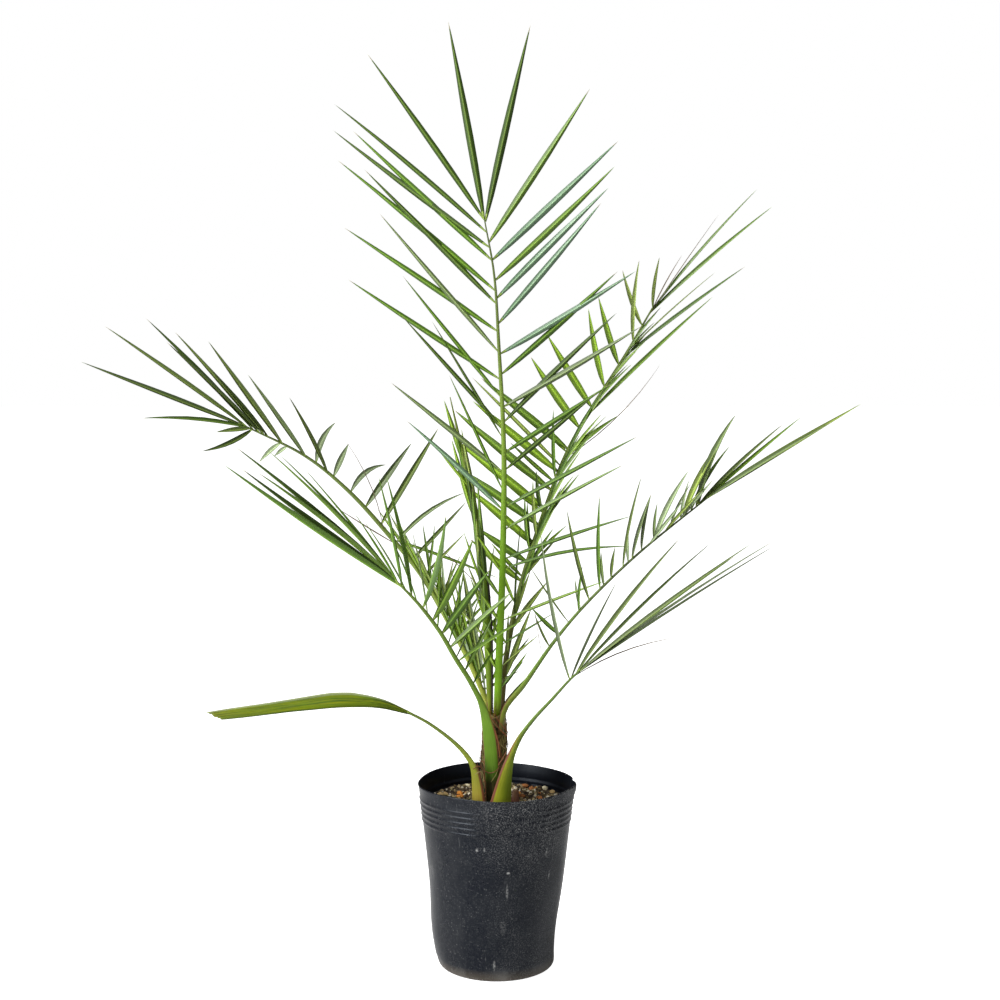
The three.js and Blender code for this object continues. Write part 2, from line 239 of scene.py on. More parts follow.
def tubeOf(points, radii, sides):
    # points and faces of a thin tube along points
    points = [Vector(p) for p in points]
    rings = []
    for i, place in enumerate(points):
        along = (points[min(i + 1, len(points) - 1)] - points[max(i - 1, 0)]).normalized()
        across = along.orthogonal() if i == 0 else across - along * across.dot(along)
        across.normalize()
        other = along.cross(across)
        for k in range(sides):
            angle = 2 * math.pi * k / sides
            rings.append(place + (across * math.cos(angle) + other * math.sin(angle)) * radii[i])
    last = (len(points) - 1) * sides
    ends = [tuple(range(sides - 1, -1, -1)), tuple(range(last, last + sides))]
    return rings, ringFaces(len(points), sides) + ends


# shader tools

def addNode(tree, kind, values=None, **settings):
    # a node with its settings, and with inputs linked to sockets or set to plain values
    node = tree.nodes.new(kind)
    for key, value in settings.items():
        setattr(node, key, value)
    for key, value in (values or {}).items():
        if isinstance(value, bpy.types.NodeSocket):
            tree.links.new(value, node.inputs[key])
        else:
            node.inputs[key].default_value = value
    return node


def mixColours(tree, factor, first, second, blend="MIX"):
    values = {0: factor, 6: first, 7: second}
    return addNode(tree, "ShaderNodeMix", values, data_type="RGBA", blend_type=blend).outputs[2]


def mapRange(tree, value, low, high, toLow=0, toHigh=1):
    values = {0: value, 1: low, 2: high, 3: toLow, 4: toHigh}
    return addNode(tree, "ShaderNodeMapRange", values).outputs[0]


def maths(tree, operation, first, second=0):
    return addNode(tree, "ShaderNodeMath", {0: first, 1: second}, operation=operation).outputs[0]


def product(tree, first, *others):
    for other in others:
        first = maths(tree, "MULTIPLY", first, other)
    return first


def noiseOf(tree, vector, scale, detail=3, roughness=0.55):
    values = {"Vector": vector, "Scale": scale, "Detail": detail, "Roughness": roughness}
    return addNode(tree, "ShaderNodeTexNoise", values).outputs[0]


def objectPlace(tree, scale=(1, 1, 1)):
    place = addNode(tree, "ShaderNodeTexCoord").outputs["Object"]
    return addNode(tree, "ShaderNodeMapping", {"Vector": place, "Scale": scale}).outputs[0]


def axesOf(tree):
    # the place across, back and up, as three numbers
    return addNode(tree, "ShaderNodeSeparateXYZ", {0: objectPlace(tree)}).outputs


def pointValue(tree, name):
    return addNode(tree, "ShaderNodeAttribute", attribute_name=name).outputs["Fac"]


def bladePlace(tree, fine, slow, seed=0):
    # a place for noise that runs along a blade
    across = product(tree, pointValue(tree, "across"), fine)
    along = product(tree, pointValue(tree, "along"), slow)
    return addNode(tree, "ShaderNodeCombineXYZ", {0: across, 1: along, 2: seed}).outputs[0]


def rampAlong(tree, stops):
    # colours that change along a piece
    ramp = addNode(tree, "ShaderNodeValToRGB", {0: pointValue(tree, "along")})
    elements = ramp.color_ramp.elements
    for i, (place, colour) in enumerate(stops):
        element = elements[i] if i < 2 else elements.new(place)
        element.position, element.color = place, colour
    return ramp.outputs[0]


def newGroup(name, inputs, outputs):
    tree = bpy.data.node_groups.new(name, "ShaderNodeTree")
    for title, kind, value in inputs:
        socket = tree.interface.new_socket(title, in_out="INPUT", socket_type=kind)
        socket.default_value = value
    for title, kind in outputs:
        tree.interface.new_socket(title, in_out="OUTPUT", socket_type=kind)
    return tree, addNode(tree, "NodeGroupInput"), addNode(tree, "NodeGroupOutput")


def newMaterial(name, roughness, specular):
    material = bpy.data.materials.new(name)
    material.use_nodes = True
    tree = material.node_tree
    shader = tree.nodes["Principled BSDF"]
    shader.inputs["Roughness"].default_value = roughness
    shader.inputs["Specular IOR Level"].default_value = specular
    return material, tree, shader


def addBump(tree, shader, height, distance, strength):
    values = {"Height": height, "Distance": distance, "Strength": strength}
    tree.links.new(addNode(tree, "ShaderNodeBump", values).outputs[0], shader.inputs["Normal"])


def placeGroup(tree, group, **values):
    return addNode(tree, "ShaderNodeGroup", values, node_tree=group)


def makeVeinGroup():
    # fine veins that run along a blade, with slow blotches, a paler keel, and margins darkened as painted
    # shade
    tree, given, made = newGroup(
        "leafVeins",
        [("Colour", "NodeSocketColor", (0.1, 0.2, 0.05, 1)),
         ("Vein", "NodeSocketColor", (0.2, 0.3, 0.1, 1)),
         ("Fineness", "NodeSocketFloat", 9.0), ("Amount", "NodeSocketFloat", 0.35),
         ("Keel", "NodeSocketFloat", 0.0), ("Edge", "NodeSocketFloat", 0.0)],
        [("Colour", "NodeSocketColor"), ("Height", "NodeSocketFloat")],
    )
    place = bladePlace(tree, given.outputs["Fineness"], 2.5, pointValue(tree, "seed"))
    veins = mapRange(tree, noiseOf(tree, place, 1.6, 2), 0.35, 0.7)
    blotches = mapRange(tree, noiseOf(tree, objectPlace(tree), 45, 2), 0.3, 0.75, 0.82, 1.12)
    values = {0: given.outputs["Colour"], "Scale": blotches}
    toned = addNode(tree, "ShaderNodeVectorMath", values, operation="SCALE")
    amount = product(tree, veins, given.outputs["Amount"])
    veined = mixColours(tree, amount, toned.outputs[0], given.outputs["Vein"])
    off = maths(tree, "ABSOLUTE", pointValue(tree, "across"))
    keel = product(tree, mapRange(tree, off, 0.1, 0.34, 1, 0), given.outputs["Keel"])
    # Edge darkens the margins: painted shade of the folded halves
    edge = product(tree, mapRange(tree, off, 0.55, 0.95), given.outputs["Edge"])
    keeled = mixColours(tree, keel, veined, given.outputs["Vein"])
    dark = mixColours(tree, 1.0, toned.outputs[0], (0.4, 0.45, 0.35, 1), "MULTIPLY")
    tree.links.new(mixColours(tree, edge, keeled, dark), made.inputs["Colour"])
    tree.links.new(veins, made.inputs["Height"])
    return tree


def speckMask(tree, place, scale, share):
    # round dots of many sizes, in a share of the cells
    largest, softness = 0.42, 0.12
    cells = addNode(tree, "ShaderNodeTexVoronoi", {"Vector": place, "Scale": scale})
    split = addNode(tree, "ShaderNodeSeparateColor", {0: cells.outputs["Color"]})
    size = mapRange(tree, split.outputs[0], 1 - share, 1, 0, largest)
    dot = maths(tree, "SUBTRACT", size, cells.outputs["Distance"])
    return mapRange(tree, dot, 0, softness)


def makeDustGroup():
    # pale dust: fine specks, smears and streaks that run down
    tree, given, made = newGroup(
        "paleDust",
        [("Colour", "NodeSocketColor", (0.01, 0.01, 0.012, 1)),
         ("Dust", "NodeSocketColor", (0.3, 0.3, 0.3, 1)),
         ("Specks", "NodeSocketFloat", 0.5), ("Smears", "NodeSocketFloat", 0.25),
         ("Scratches", "NodeSocketFloat", 0.3)],
        [("Colour", "NodeSocketColor"), ("Mask", "NodeSocketFloat")],
    )
    place = objectPlace(tree)
    grit = mapRange(tree, noiseOf(tree, place, 900, 2, 0.6), 0.5, 0.68)
    specks = maths(tree, "ADD", grit, speckMask(tree, place, 680, 0.33))
    smears = mapRange(tree, noiseOf(tree, objectPlace(tree, (34, 34, 22)), 1, 5, 0.65), 0.42, 0.8)
    scratches = mapRange(tree, noiseOf(tree, objectPlace(tree, (520, 520, 26)), 1, 2), 0.7, 0.78)
    fine = product(tree, specks, given.outputs["Specks"])
    lines = product(tree, scratches, given.outputs["Scratches"])
    broad = maths(tree, "ADD", product(tree, smears, given.outputs["Smears"]), lines)
    mask = addNode(tree, "ShaderNodeClamp", {0: maths(tree, "ADD", fine, broad)}).outputs[0]
    dusted = mixColours(tree, mask, given.outputs["Colour"], given.outputs["Dust"])
    tree.links.new(dusted, made.inputs["Colour"])
    tree.links.new(mask, made.inputs["Mask"])
    return tree


veinGroup = makeVeinGroup()
dustGroup = makeDustGroup()
print("shader groups made")


# pot

pot = {
    "height": 179,
    "rimRadius": 75.2,
    "rimFlare": 0.5,
    "lipHeight": 6,
    "underRim": (0.35, 2.2),  # how far in and down the wall ends under the rim
    "footRadius": 56.2,
    "footRound": 5,
    "wall": 1.4,
    "ridges": 5,
    "ridgePitch": 5.2,
    "ridgeHeight": 0.8,
    "ridgeDrop": 14,
    "ridgeSteps": 6,
    "ridgeSharpness": 1.5,
    "wallStep": 6,  # distance between rows on the plain wall
    "roundSteps": 6,  # points round the foot and the rim
    "turns": 144,
    "drainHoles": 6,
    "drainRadius": 5,
    "drainCircle": 34,
    "drainSides": 20,
    "drainCut": 6,
    # depth, count, phase and power of the height of each wave round the wall
    "waves": [(0.55, 2, 0.6, 2), (0.3, 5, 1.1, 1), (0.16, 9, 2, 1)],
    "rimLift": 0.7,  # how far the rim rises and falls
    "stiffHeight": 12,  # under this height the foot holds the wall round
    "floorMargin": 3,  # the floor stays true up to this far from its edge
    # angle from +X, height, depth, half angle and half height of each dent; a bulge has a negative depth
    "dents": [(-0.5, 48, 1.8, 0.5, 30), (-2.3, 96, 1.0, 0.35, 30), (0.9, 80, 1.5, 0.4, 30),
              (-1.35, 30, 0.7, 0.3, 18), (2.2, 60, 1.3, 0.4, 34), (3.14, 34, -3.4, 0.8, 34),
              (0, 30, 1.6, 0.4, 26), (0.05, 177, 2.2, 0.07, 7), (-0.2, 174, -2.4, 0.13, 7),
              (-1.0, 120, 0.6, 0.2, 30)],
    "colour": shade(8, 11, 19),
    "dust": shade(158, 158, 156),
    "grime": shade(128, 116, 98),
    "sheen": (0.84, 0.92, 1, 1),
    # scuffs on the wall: middle, half width, half height and strength
    "scuffs": [((11, -66, 109), 2.2, 1.4, 1), ((-18, -67, 131), 1.8, 2.6, 0.8),
               ((-11, -68.5, 132), 1.2, 2.6, 0.6), ((47, -50, 124), 1.8, 6, 0.5),
               ((49.5, -44, 100), 1.4, 7, 0.4), ((10, -64.5, 90), 1.6, 12, 0.4),
               ((-2, -57.5, 17), 1.6, 7, 0.5), ((31, -61, 124), 5, 1.6, 0.25),
               ((6, -61, 55), 4, 9, 0.12), ((-62, -26, 98), 7, 12, 0.12)],
}


def potOuterRadius(height):
    slope = (pot["rimRadius"] - pot["rimFlare"] - pot["footRadius"]) / (pot["height"] - pot["footRound"])
    return pot["footRadius"] + slope * (height - pot["footRound"])


def potWave(angle, height):
    # how far the soft wall stands out of its true round
    wave = 0
    for depth, count, phase, power in pot["waves"]:
        wave += depth * math.cos(count * angle + phase) * (height / pot["height"]) ** power
    for place, level, depth, halfAngle, halfHeight in pot["dents"]:
        turn = math.remainder(angle - place, 2 * math.pi) / halfAngle
        wave -= depth * math.exp(-turn**2 - ((height - level) / halfHeight) ** 2)
    return wave


def shapePot(bm):
    # bends the true round wall to the soft one
    for vert in bm.verts:
        x, y, z = vert.co / mm
        radius, angle = math.hypot(x, y), math.atan2(y, x)
        if radius > pot["footRadius"] - pot["footRound"] - pot["floorMargin"]:
            radius += potWave(angle, z) * min(1, z / pot["stiffHeight"])
        lift = pot["rimLift"] * math.cos(3 * angle + 0.4) * (z / pot["height"]) ** 8
        vert.co = Vector((radius * math.cos(angle), radius * math.sin(angle), z + lift)) * mm


def potWallProfile(inset):
    # points from the foot's top to the lip, on the outside or set in by the wall
    points = []
    firstRidge = pot["height"] - pot["ridgeDrop"] - (pot["ridges"] - 0.5) * pot["ridgePitch"]
    count = int((firstRidge - 2 * pot["footRound"]) / pot["wallStep"])
    for height in np.linspace(pot["footRound"] + 1, firstRidge, count, endpoint=False):
        points.append((potOuterRadius(height) - inset, height))
    for step in range(pot["ridgeSteps"] * pot["ridges"]):
        height = firstRidge + step * pot["ridgePitch"] / pot["ridgeSteps"]
        crest = 0.5 - 0.5 * math.cos(2 * math.pi * step / pot["ridgeSteps"])
        bulge = pot["ridgeHeight"] * crest ** pot["ridgeSharpness"]
        points.append((potOuterRadius(height) + bulge - inset, height))
    lip = pot["height"] - pot["lipHeight"]
    points.append((potOuterRadius(lip) - inset, lip))
    points.append((pot["rimRadius"] - pot["underRim"][0] - inset, pot["height"] - pot["underRim"][1]))
    return points


def makePot():
    foot, rim, half = [], [], pot["wall"] / 2
    for turn in np.linspace(0, math.pi / 2, pot["roundSteps"]):
        inset = pot["footRound"] * (1 - math.sin(turn))
        foot.append((pot["footRadius"] - inset, pot["footRound"] * (1 - math.cos(turn))))
    for turn in np.linspace(0, math.pi, pot["roundSteps"]):
        rim.append((pot["rimRadius"] - half + half * math.cos(turn),
                    pot["height"] - half + half * math.sin(turn)))
    lowest = pot["footRound"] + pot["wall"]
    inside = [point for point in reversed(potWallProfile(pot["wall"])) if point[1] > lowest]
    flat = pot["footRadius"] - pot["footRound"]
    floor = [(radius, pot["wall"]) for radius in (flat, pot["drainCircle"], 0)]
    outside = [(0, 0), (pot["drainCircle"], 0), *foot, *potWallProfile(0)]
    bm = spunFrom([*outside, *rim, *inside, *floor], pot["turns"])
    shapePot(bm)
    return bm


def cutDrainHoles(mesh):
    # six holes through the floor
    bm = bmesh.new()
    for index in range(pot["drainHoles"]):
        angle = index * 2 * math.pi / pot["drainHoles"]
        place = Vector((math.cos(angle), math.sin(angle), 0)) * pot["drainCircle"] * mm
        radius = pot["drainRadius"] * mm
        bmesh.ops.create_cone(bm, cap_ends=True, segments=pot["drainSides"], radius1=radius, radius2=radius,
                              depth=pot["drainCut"] * mm, matrix=Matrix.Translation(place))
    cutter = addObject("drainCutter", meshFrom("drainCutter", bm))
    body = addObject("potBody", mesh)
    cut = body.modifiers.new("drain", "BOOLEAN")
    cut.object = cutter
    cut.solver = "EXACT"
    done = bpy.data.meshes.new_from_object(body.evaluated_get(bpy.context.evaluated_depsgraph_get()))
    for item in (cutter, body):
        bpy.data.objects.remove(item)
    return done


def scuffMask(tree):
    # scuffs at chosen places, broken up by fine noise
    total = 0
    for middle, wide, tall, strength in pot["scuffs"]:
        mapping = addNode(tree, "ShaderNodeMapping", {
            "Vector": objectPlace(tree),
            "Scale": (1 / (wide * mm), 1 / (wide * mm), 1 / (tall * mm)),
            "Location": (-middle[0] / wide, -middle[1] / wide, -middle[2] / tall),
        })
        off = addNode(tree, "ShaderNodeVectorMath", {0: mapping.outputs[0]}, operation="LENGTH")
        total = maths(tree, "ADD", mapRange(tree, off.outputs["Value"], 0.3, 1, strength, 0), total)
    broken = mapRange(tree, noiseOf(tree, objectPlace(tree), 600, 3), 0.36, 0.56)
    return product(tree, total, broken)


def outsideMask(tree):
    # one where the wall looks away from the pot's axis
    normal = addNode(tree, "ShaderNodeNewGeometry").outputs["Normal"]
    values = {0: normal, 1: objectPlace(tree, (1, 1, 0))}
    facing = addNode(tree, "ShaderNodeVectorMath", values, operation="DOT_PRODUCT")
    return mapRange(tree, facing.outputs["Value"], -0.01, 0.01)


def potMaterial():
    # black film, dustier to the right and high up, with fine marks and grime at the foot
    material, tree, shader = newMaterial("potFilm", 0.3, 0.18)
    shader.inputs["Specular Tint"].default_value = pot["sheen"]
    across, _, height = axesOf(tree)
    outside = outsideMask(tree)
    patches = mapRange(tree, noiseOf(tree, objectPlace(tree), 26, 4, 0.6), 0.38, 0.66, 0.35, 1)
    right = mapRange(tree, across, -0.035, 0.03, 0.05, 0.62)
    high = mapRange(tree, height, 0.095, 0.15, 0.2, 1)
    low = mapRange(tree, height, 0.002, 0.016, 0.3, 0.04)
    dust = placeGroup(tree, dustGroup, Colour=pot["colour"], Dust=pot["dust"], Scratches=0.2,
                      Specks=product(tree, patches, outside, right, high),
                      Smears=product(tree, low, outside))
    stray = product(tree, speckMask(tree, objectPlace(tree), 640, 0.22), outside, 0.16)
    mottle = mapRange(tree, noiseOf(tree, objectPlace(tree), 420, 4, 0.75), 0.53, 0.74, 0, 0.085)
    fine = maths(tree, "ADD", stray, product(tree, mottle, outside))
    marks = maths(tree, "MAXIMUM", scuffMask(tree), fine)
    foot = mapRange(tree, height, 0.001, 0.012, 0.3, 0)
    grimy = mixColours(tree, foot, dust.outputs["Colour"], pot["grime"])
    tree.links.new(mixColours(tree, marks, grimy, pot["dust"]), shader.inputs["Base Color"])
    rough = mapRange(tree, dust.outputs["Mask"], 0, 0.6, 0.24, 0.7)
    inside = mapRange(tree, outside, 0, 1, 0.5, 0)
    tree.links.new(maths(tree, "MAXIMUM", rough, inside), shader.inputs["Roughness"])
    ripple = noiseOf(tree, objectPlace(tree, (60, 60, 22)), 1, 3)
    relief = maths(tree, "ADD", ripple, product(tree, dust.outputs["Mask"], 0.08))
    addBump(tree, shader, relief, 0.0012, 0.3)
    return material


potMesh = cutDrainHoles(meshFrom("potShell", makePot()))
potPiece = addPiece("potShell", potMesh, [potMaterial()], ["pot"])
print("pot made,", len(potPiece.data.polygons), "faces")


# soil

soil = {
    "clearance": 0.4,
    "rings": 26,
    "sideRows": 12,
    "turns": 72,
    "lumps": 1.3,  # how far the surface rises and falls
    "mound": 1.2,  # height of the mound round the stem
    "moundRadius": 30,
    "slope": 0.065,  # how steeply it climbs to the back
    "grains": 2600,
    "grainSize": (0.6, 2.2),
    "grainLift": 0.2,  # height of a lump's middle over the soil, per size
    "pebbles": 60,
    "pebbleSize": (1.6, 4.0),
    "pebbleLift": 0.25,
    "knock": 0.16,  # how far each corner of a lump is moved
    "squash": [(0.8, 0.7, 0.55), (1.25, 1.0, 0.8)],
    "turn": 6.28,  # largest turn and tilt of a lump, in radians
    "tilt": 0.5,
    "seed": 11,
    "base": shade(74, 62, 50),
    "grainColours": shades((58, 47, 36), (84, 68, 51), (46, 37, 27), (118, 100, 68), (190, 172, 130),
                           (140, 132, 88), (236, 226, 200), (168, 148, 112)),
    "pebbleColours": shades((226, 146, 62), (240, 228, 190), (208, 176, 122), (166, 106, 58)),
    # across, back, radius and colour of the large pebbles that show in front
    "showing": [(-36, 33, 3.9, 0), (-29, 60, 3.3, 1), (28, 57, 3.7, 3), (48, 46, 4.1, 1),
                (55, 36, 3, 2), (60, 26, 2.3, 0)],
}


def soilHeight(x, y):
    # gentle lumps, a low mound round the stem, and a slope up to the back
    lump = math.sin(x * 0.21 + 1) * math.sin(y * 0.17 + 2)
    lump += 0.5 * math.sin(x * 0.47) * math.sin(y * 0.53 + 1)
    mound = soil["mound"] * math.exp(-(x**2 + y**2) / soil["moundRadius"] ** 2)
    return soil["lumps"] * (lump - 0.6) + mound + soil["slope"] * max(y, 0)


def soilRadius(height):
    return potOuterRadius(height) - pot["wall"] - soil["clearance"]


def makeSoil():
    level = groundLevel / mm
    bottom = pot["wall"] + soil["clearance"]
    side = [(0, bottom), (pot["footRadius"] - pot["footRound"] - soil["clearance"], bottom)]
    for height in np.linspace(pot["footRound"] + pot["wall"], level, soil["sideRows"]):
        side.append((soilRadius(height), height))
    top = [(soilRadius(level) * (1 - i / soil["rings"]), level) for i in range(1, soil["rings"] + 1)]
    bm = spunFrom(side + top, soil["turns"])
    for vert in bm.verts:
        x, y, z = vert.co / mm
        if z > level - 0.5:
            vert.co.z += soilHeight(x, y) * mm
        elif z > bottom + 1:
            grow = 1 + potWave(math.atan2(y, x), z) / max(math.hypot(x, y), 1)
            vert.co.x, vert.co.y = vert.co.x * grow, vert.co.y * grow
    return bm


def grainShape():
    # a small round lump of twenty faces
    bm = bmesh.new()
    bmesh.ops.create_icosphere(bm, subdivisions=1, radius=1)
    bm.verts.ensure_lookup_table()
    points = np.array([vert.co for vert in bm.verts])
    faces = [[vert.index for vert in face.verts] for face in bm.faces]
    bm.free()
    return points, faces


def scatterGrains(count, sizes, colours, seed, lift, showing=()):
    # lumps lying on the soil, small ones most, each squashed, turned and knocked about
    random = np.random.default_rng(seed)
    points, faces = grainShape()
    heap = Joined()
    level = groundLevel / mm
    edge = soilRadius(level) - sizes[1]
    for index in range(count):
        radius, angle = edge * math.sqrt(random.random()), 2 * math.pi * random.random()
        x, y, tone = radius * math.cos(angle), radius * math.sin(angle), random.integers(len(colours))
        size = sizes[0] + (sizes[1] - sizes[0]) * random.random() ** 2
        if index < len(showing):
            x, y, size, tone = showing[index]
        knocked = points * (1 + soil["knock"] * random.standard_normal((len(points), 1))) * size
        knocked = knocked * random.uniform(*soil["squash"])
        turned = Matrix.Rotation(random.uniform(0, soil["turn"]), 3, "Z")
        spin = turned @ Matrix.Rotation(random.uniform(-soil["tilt"], soil["tilt"]), 3, "X")
        place = np.array((x, y, level + soilHeight(x, y) + size * lift))
        heap.add((knocked @ np.array(spin).T + place) * mm, faces, [tone] * len(faces))
    return heap


def grainMaterial(name, colour, roughness=0.9):
    material, tree, shader = newMaterial(name, roughness, 0.25)
    mottle = mapRange(tree, noiseOf(tree, objectPlace(tree), 900, 3), 0.3, 0.7)
    tree.links.new(mixColours(tree, mottle, dimmed(colour, 0.55), colour), shader.inputs["Base Color"])
    addBump(tree, shader, noiseOf(tree, objectPlace(tree), 1600, 3), 0.0006, 0.7)
    return material


def tonesOf(make, name, colours, *more):
    # one material for each colour, numbered
    return [make("%s%d" % (name, i), colour, *more) for i, colour in enumerate(colours)]


grainTones = tonesOf(grainMaterial, "soilGrain", soil["grainColours"])
pebbleTones = tonesOf(grainMaterial, "soilPebble", soil["pebbleColours"], 0.7)
soilMix = grainMaterial("soilMix", soil["base"])
addPiece("soilBody", meshFrom("soilBody", makeSoil()), [soilMix], ["soil"])
grains = scatterGrains(soil["grains"], soil["grainSize"], grainTones, soil["seed"], soil["grainLift"])
addPiece("soilGrains", grains.mesh("soilGrains"), grainTones, smooth=False)
pebbles = scatterGrains(soil["pebbles"], soil["pebbleSize"], pebbleTones, soil["seed"] + 1,
                        soil["pebbleLift"], soil["showing"])
addPiece("soilPebbles", pebbles.mesh("soilPebbles"), pebbleTones, smooth=False)
print("soil made,", soil["grains"] + soil["pebbles"], "grains")


# stem

stem = {
    "foot": (-4, 1, -4),
    "top": (-1, 0, 88),
    "radius": [15.6, 13.2, 12.5, 12.2, 11.8, 11.2, 9.4],
    "sides": 48,
    "rows": 60,
    "fibres": 240,
    "curls": 14,
    "tufts": 44,
    "fibreSteps": 6,
    "curlSteps": 10,
    "fibreSides": 4,
    "fibreRadius": (0.18, 0.42),
    "strandSteps": 14,
    "strandSides": 6,
    "seed": 5,
    "bark": shade(88, 76, 40),
    "barkPale": shade(140, 128, 72),
    # painted shade: the dark brown laid on the bark's left side and low down by the soil
    "paintedShade": shade(34, 25, 18),
    "fibreColours": shades((120, 80, 48), (80, 62, 36), (154, 140, 88), (34, 25, 17), (158, 94, 58)),
    # strands that cross the sheaths: radius, colour, and places across, back and up
    "strands": [
        (0.56, 4, [(-6, -12, 89), (-1, -13.6, 82), (4, -13.4, 76), (10, -9, 69)]),
        (0.35, 2, [(-4, -13, 85), (1, -14, 79), (6, -12, 73)]),
        (0.49, 4, [(-5, -19, 87), (1, -18.5, 68), (3.4, -17, 50)]),
        (0.35, 4, [(-2, -14, 92), (3, -14.4, 84), (7.4, -13, 78), (11, -9, 73)]),
        (0.35, 2, [(1, -14, 66), (6, -14, 60), (10, -9.6, 56)]),
        (0.385, 4, [(0, -13, 72), (3, -14, 60), (5, -13, 48)]),
        (0.49, 0, [(-13, -15, 38), (-7, -21.5, 36.5), (-1, -21.5, 38), (4, -16, 42)]),
        (0.7, 0, [(0, -16, 40), (5, -19, 48), (9.5, -15, 55)]),
        (0.56, 0, [(-22, -30, 42), (-17.5, -29, 45), (-13, -25, 41), (-11.6, -23, 34), (-13.5, -24, 25)]),
        (0.42, 2, [(-20, -30, 37), (-16, -29, 39.5), (-12.4, -26, 36), (-12.8, -25, 28), (-15, -26, 21)]),
        (0.28, 2, [(-5, -19, 27), (-1, -22, 34), (2, -19, 40)]),
        (0.84, 2, [(-3.4, -10.6, 86), (-1.4, -11.6, 87.4), (0.4, -11.6, 87.2)]),
        (0.7, 2, [(1, -11.4, 88.2), (3, -10.6, 89.2), (5, -9, 88.6)]),
        (0.49, 0, [(3.4, -10, 84), (5.4, -12.4, 92), (8.4, -13.6, 99), (11.6, -14.6, 106)]),
        (0.42, 1, [(5, -9, 88), (7, -10, 97), (9.4, -11, 101)]),
        # this last strand is no fibre but a painted shadow: a dark line standing in for the shade in the gap
        # between the spear and the upright frond
        (0.91, 3, [(-4, -3, 92), (-4, -2, 116), (-4.2, 0, 163), (-6.4, 2, 200), (-8.4, 3, 222)]),
    ],
}


def stemAt(share, angle, out=0):
    # a place on the stem's surface, share 0 at its foot
    foot, top = overGround(*stem["foot"]), overGround(*stem["top"])
    radius = (keyed(stem["radius"], share) + out) * mm
    return foot.lerp(top, share) + Vector((math.cos(angle) * radius, math.sin(angle) * radius, 0))


def barkRelief(share, angle):
    # torn sheath edges that climb round the stem, and rough fibre between them
    climb = (share * 4.2 + angle / (2 * math.pi)) % 1
    ledge = 1.3 * climb**2 - 0.4
    fibre = 0.35 * math.sin(23 * angle + 9 * share) + 0.25 * math.sin(41 * angle - 31 * share)
    knots = 0.3 * math.sin(7 * angle + 40 * share) * math.sin(55 * share)
    return ledge + fibre + knots


def makeStem():
    bm = barOf(stem["sides"], stem["rows"])
    for vert in bm.verts:
        share, angle = vert.co.z + 0.5, math.atan2(vert.co.y, vert.co.x)
        vert.co = stemAt(share, angle, barkRelief(share, angle) * (1 - share**6))
    return bm


def fibreLine(random):
    # one strand of the net of fibres, lying on the bark
    start, angle = random.uniform(0.02, 0.9), random.uniform(0, 2 * math.pi)
    rise, sweep = random.uniform(0.08, 0.22), random.choice([-1, 1]) * random.uniform(0.3, 1.1)
    lift = random.uniform(0.2, 1.3)
    line = []
    for step in range(stem["fibreSteps"] + 1):
        u = step / stem["fibreSteps"]
        share = min(start + rise * u, 1)
        turn = angle + sweep * u + 0.1 * math.sin(5 * u + angle)
        out = barkRelief(share, turn) * 0.8 + 0.3 + lift * math.sin(math.pi * u) * u
        line.append(stemAt(share, turn, out))
    return line


def curlLine(random):
    # a loose hair that stands off the stem and curls back
    start, angle = random.uniform(0.05, 0.85), random.uniform(0, 2 * math.pi)
    reach, sweep = random.uniform(2.5, 6), random.choice([-1, 1]) * random.uniform(0.6, 1.5)
    line = []
    for step in range(stem["curlSteps"] + 1):
        u = step / stem["curlSteps"]
        out = 0.6 + reach * math.sin(math.pi * u) ** 1.3
        line.append(stemAt(min(start + 0.16 * math.sin(2.4 * u), 1), angle + sweep * u, out))
    return line


def tuftLine(random):
    # a stiff hair of the torn net that stands up at the crown
    angle, tall = random.uniform(0, 2 * math.pi), random.uniform(5, 22) * mm
    lean = Vector((math.cos(angle), math.sin(angle), 0)) * random.uniform(-0.15, 0.3)
    start = stemAt(random.uniform(0.88, 1), angle, -0.5)
    return [start + (lean * u * u + Vector((0, 0, 1)) * u) * tall for u in (0, 0.25, 0.5, 0.75, 1)]


def makeFibres():
    random = np.random.default_rng(stem["seed"])
    net = Joined()
    lines = [fibreLine(random) for _ in range(stem["fibres"])]
    lines += [curlLine(random) for _ in range(stem["curls"])]
    lines += [tuftLine(random) for _ in range(stem["tufts"])]
    for line in lines:
        thick = random.uniform(*stem["fibreRadius"]) * mm
        radii = [thick * (1 - 0.5 * i / len(line)) for i in range(len(line))]
        points, faces = tubeOf(line, radii, stem["fibreSides"])
        net.add(points, faces, [random.integers(len(stem["fibreColours"]))] * len(faces))
    steps = stem["strandSteps"]
    for radius, tone, places in stem["strands"]:
        lineAt = lineOf(places)
        line = [lineAt(i / steps)[0] for i in range(steps + 1)]
        points, faces = tubeOf(line, [radius * mm] * len(line), stem["strandSides"])
        net.add(points, faces, [tone] * len(faces))
    return net


def barkMaterial():
    material, tree, shader = newMaterial("stemBark", 0.85, 0.25)
    strands = noiseOf(tree, objectPlace(tree, (420, 420, 60)), 1, 4, 0.65)
    tone = mixColours(tree, mapRange(tree, strands, 0.35, 0.7), stem["bark"], stem["barkPale"])
    across, _, height = axesOf(tree)
    # painted shade: the bark darkens low down by the soil and on its left side
    low = mapRange(tree, height, groundLevel + 0.02, groundLevel + 0.055, 0.75, 0)
    left = mapRange(tree, across, -0.016, -0.009, 0.8, 0)
    dark = maths(tree, "MAXIMUM", low, left)
    tree.links.new(mixColours(tree, dark, tone, stem["paintedShade"]), shader.inputs["Base Color"])
    addBump(tree, shader, strands, 0.0016, 0.8)
    return material


def plainFibre(name, colour):
    material, tree, shader = newMaterial(name, 0.7, 0.3)
    grain = mapRange(tree, noiseOf(tree, objectPlace(tree), 300, 2), 0.3, 0.7)
    tree.links.new(mixColours(tree, grain, dimmed(colour, 0.6), colour), shader.inputs["Base Color"])
    return material


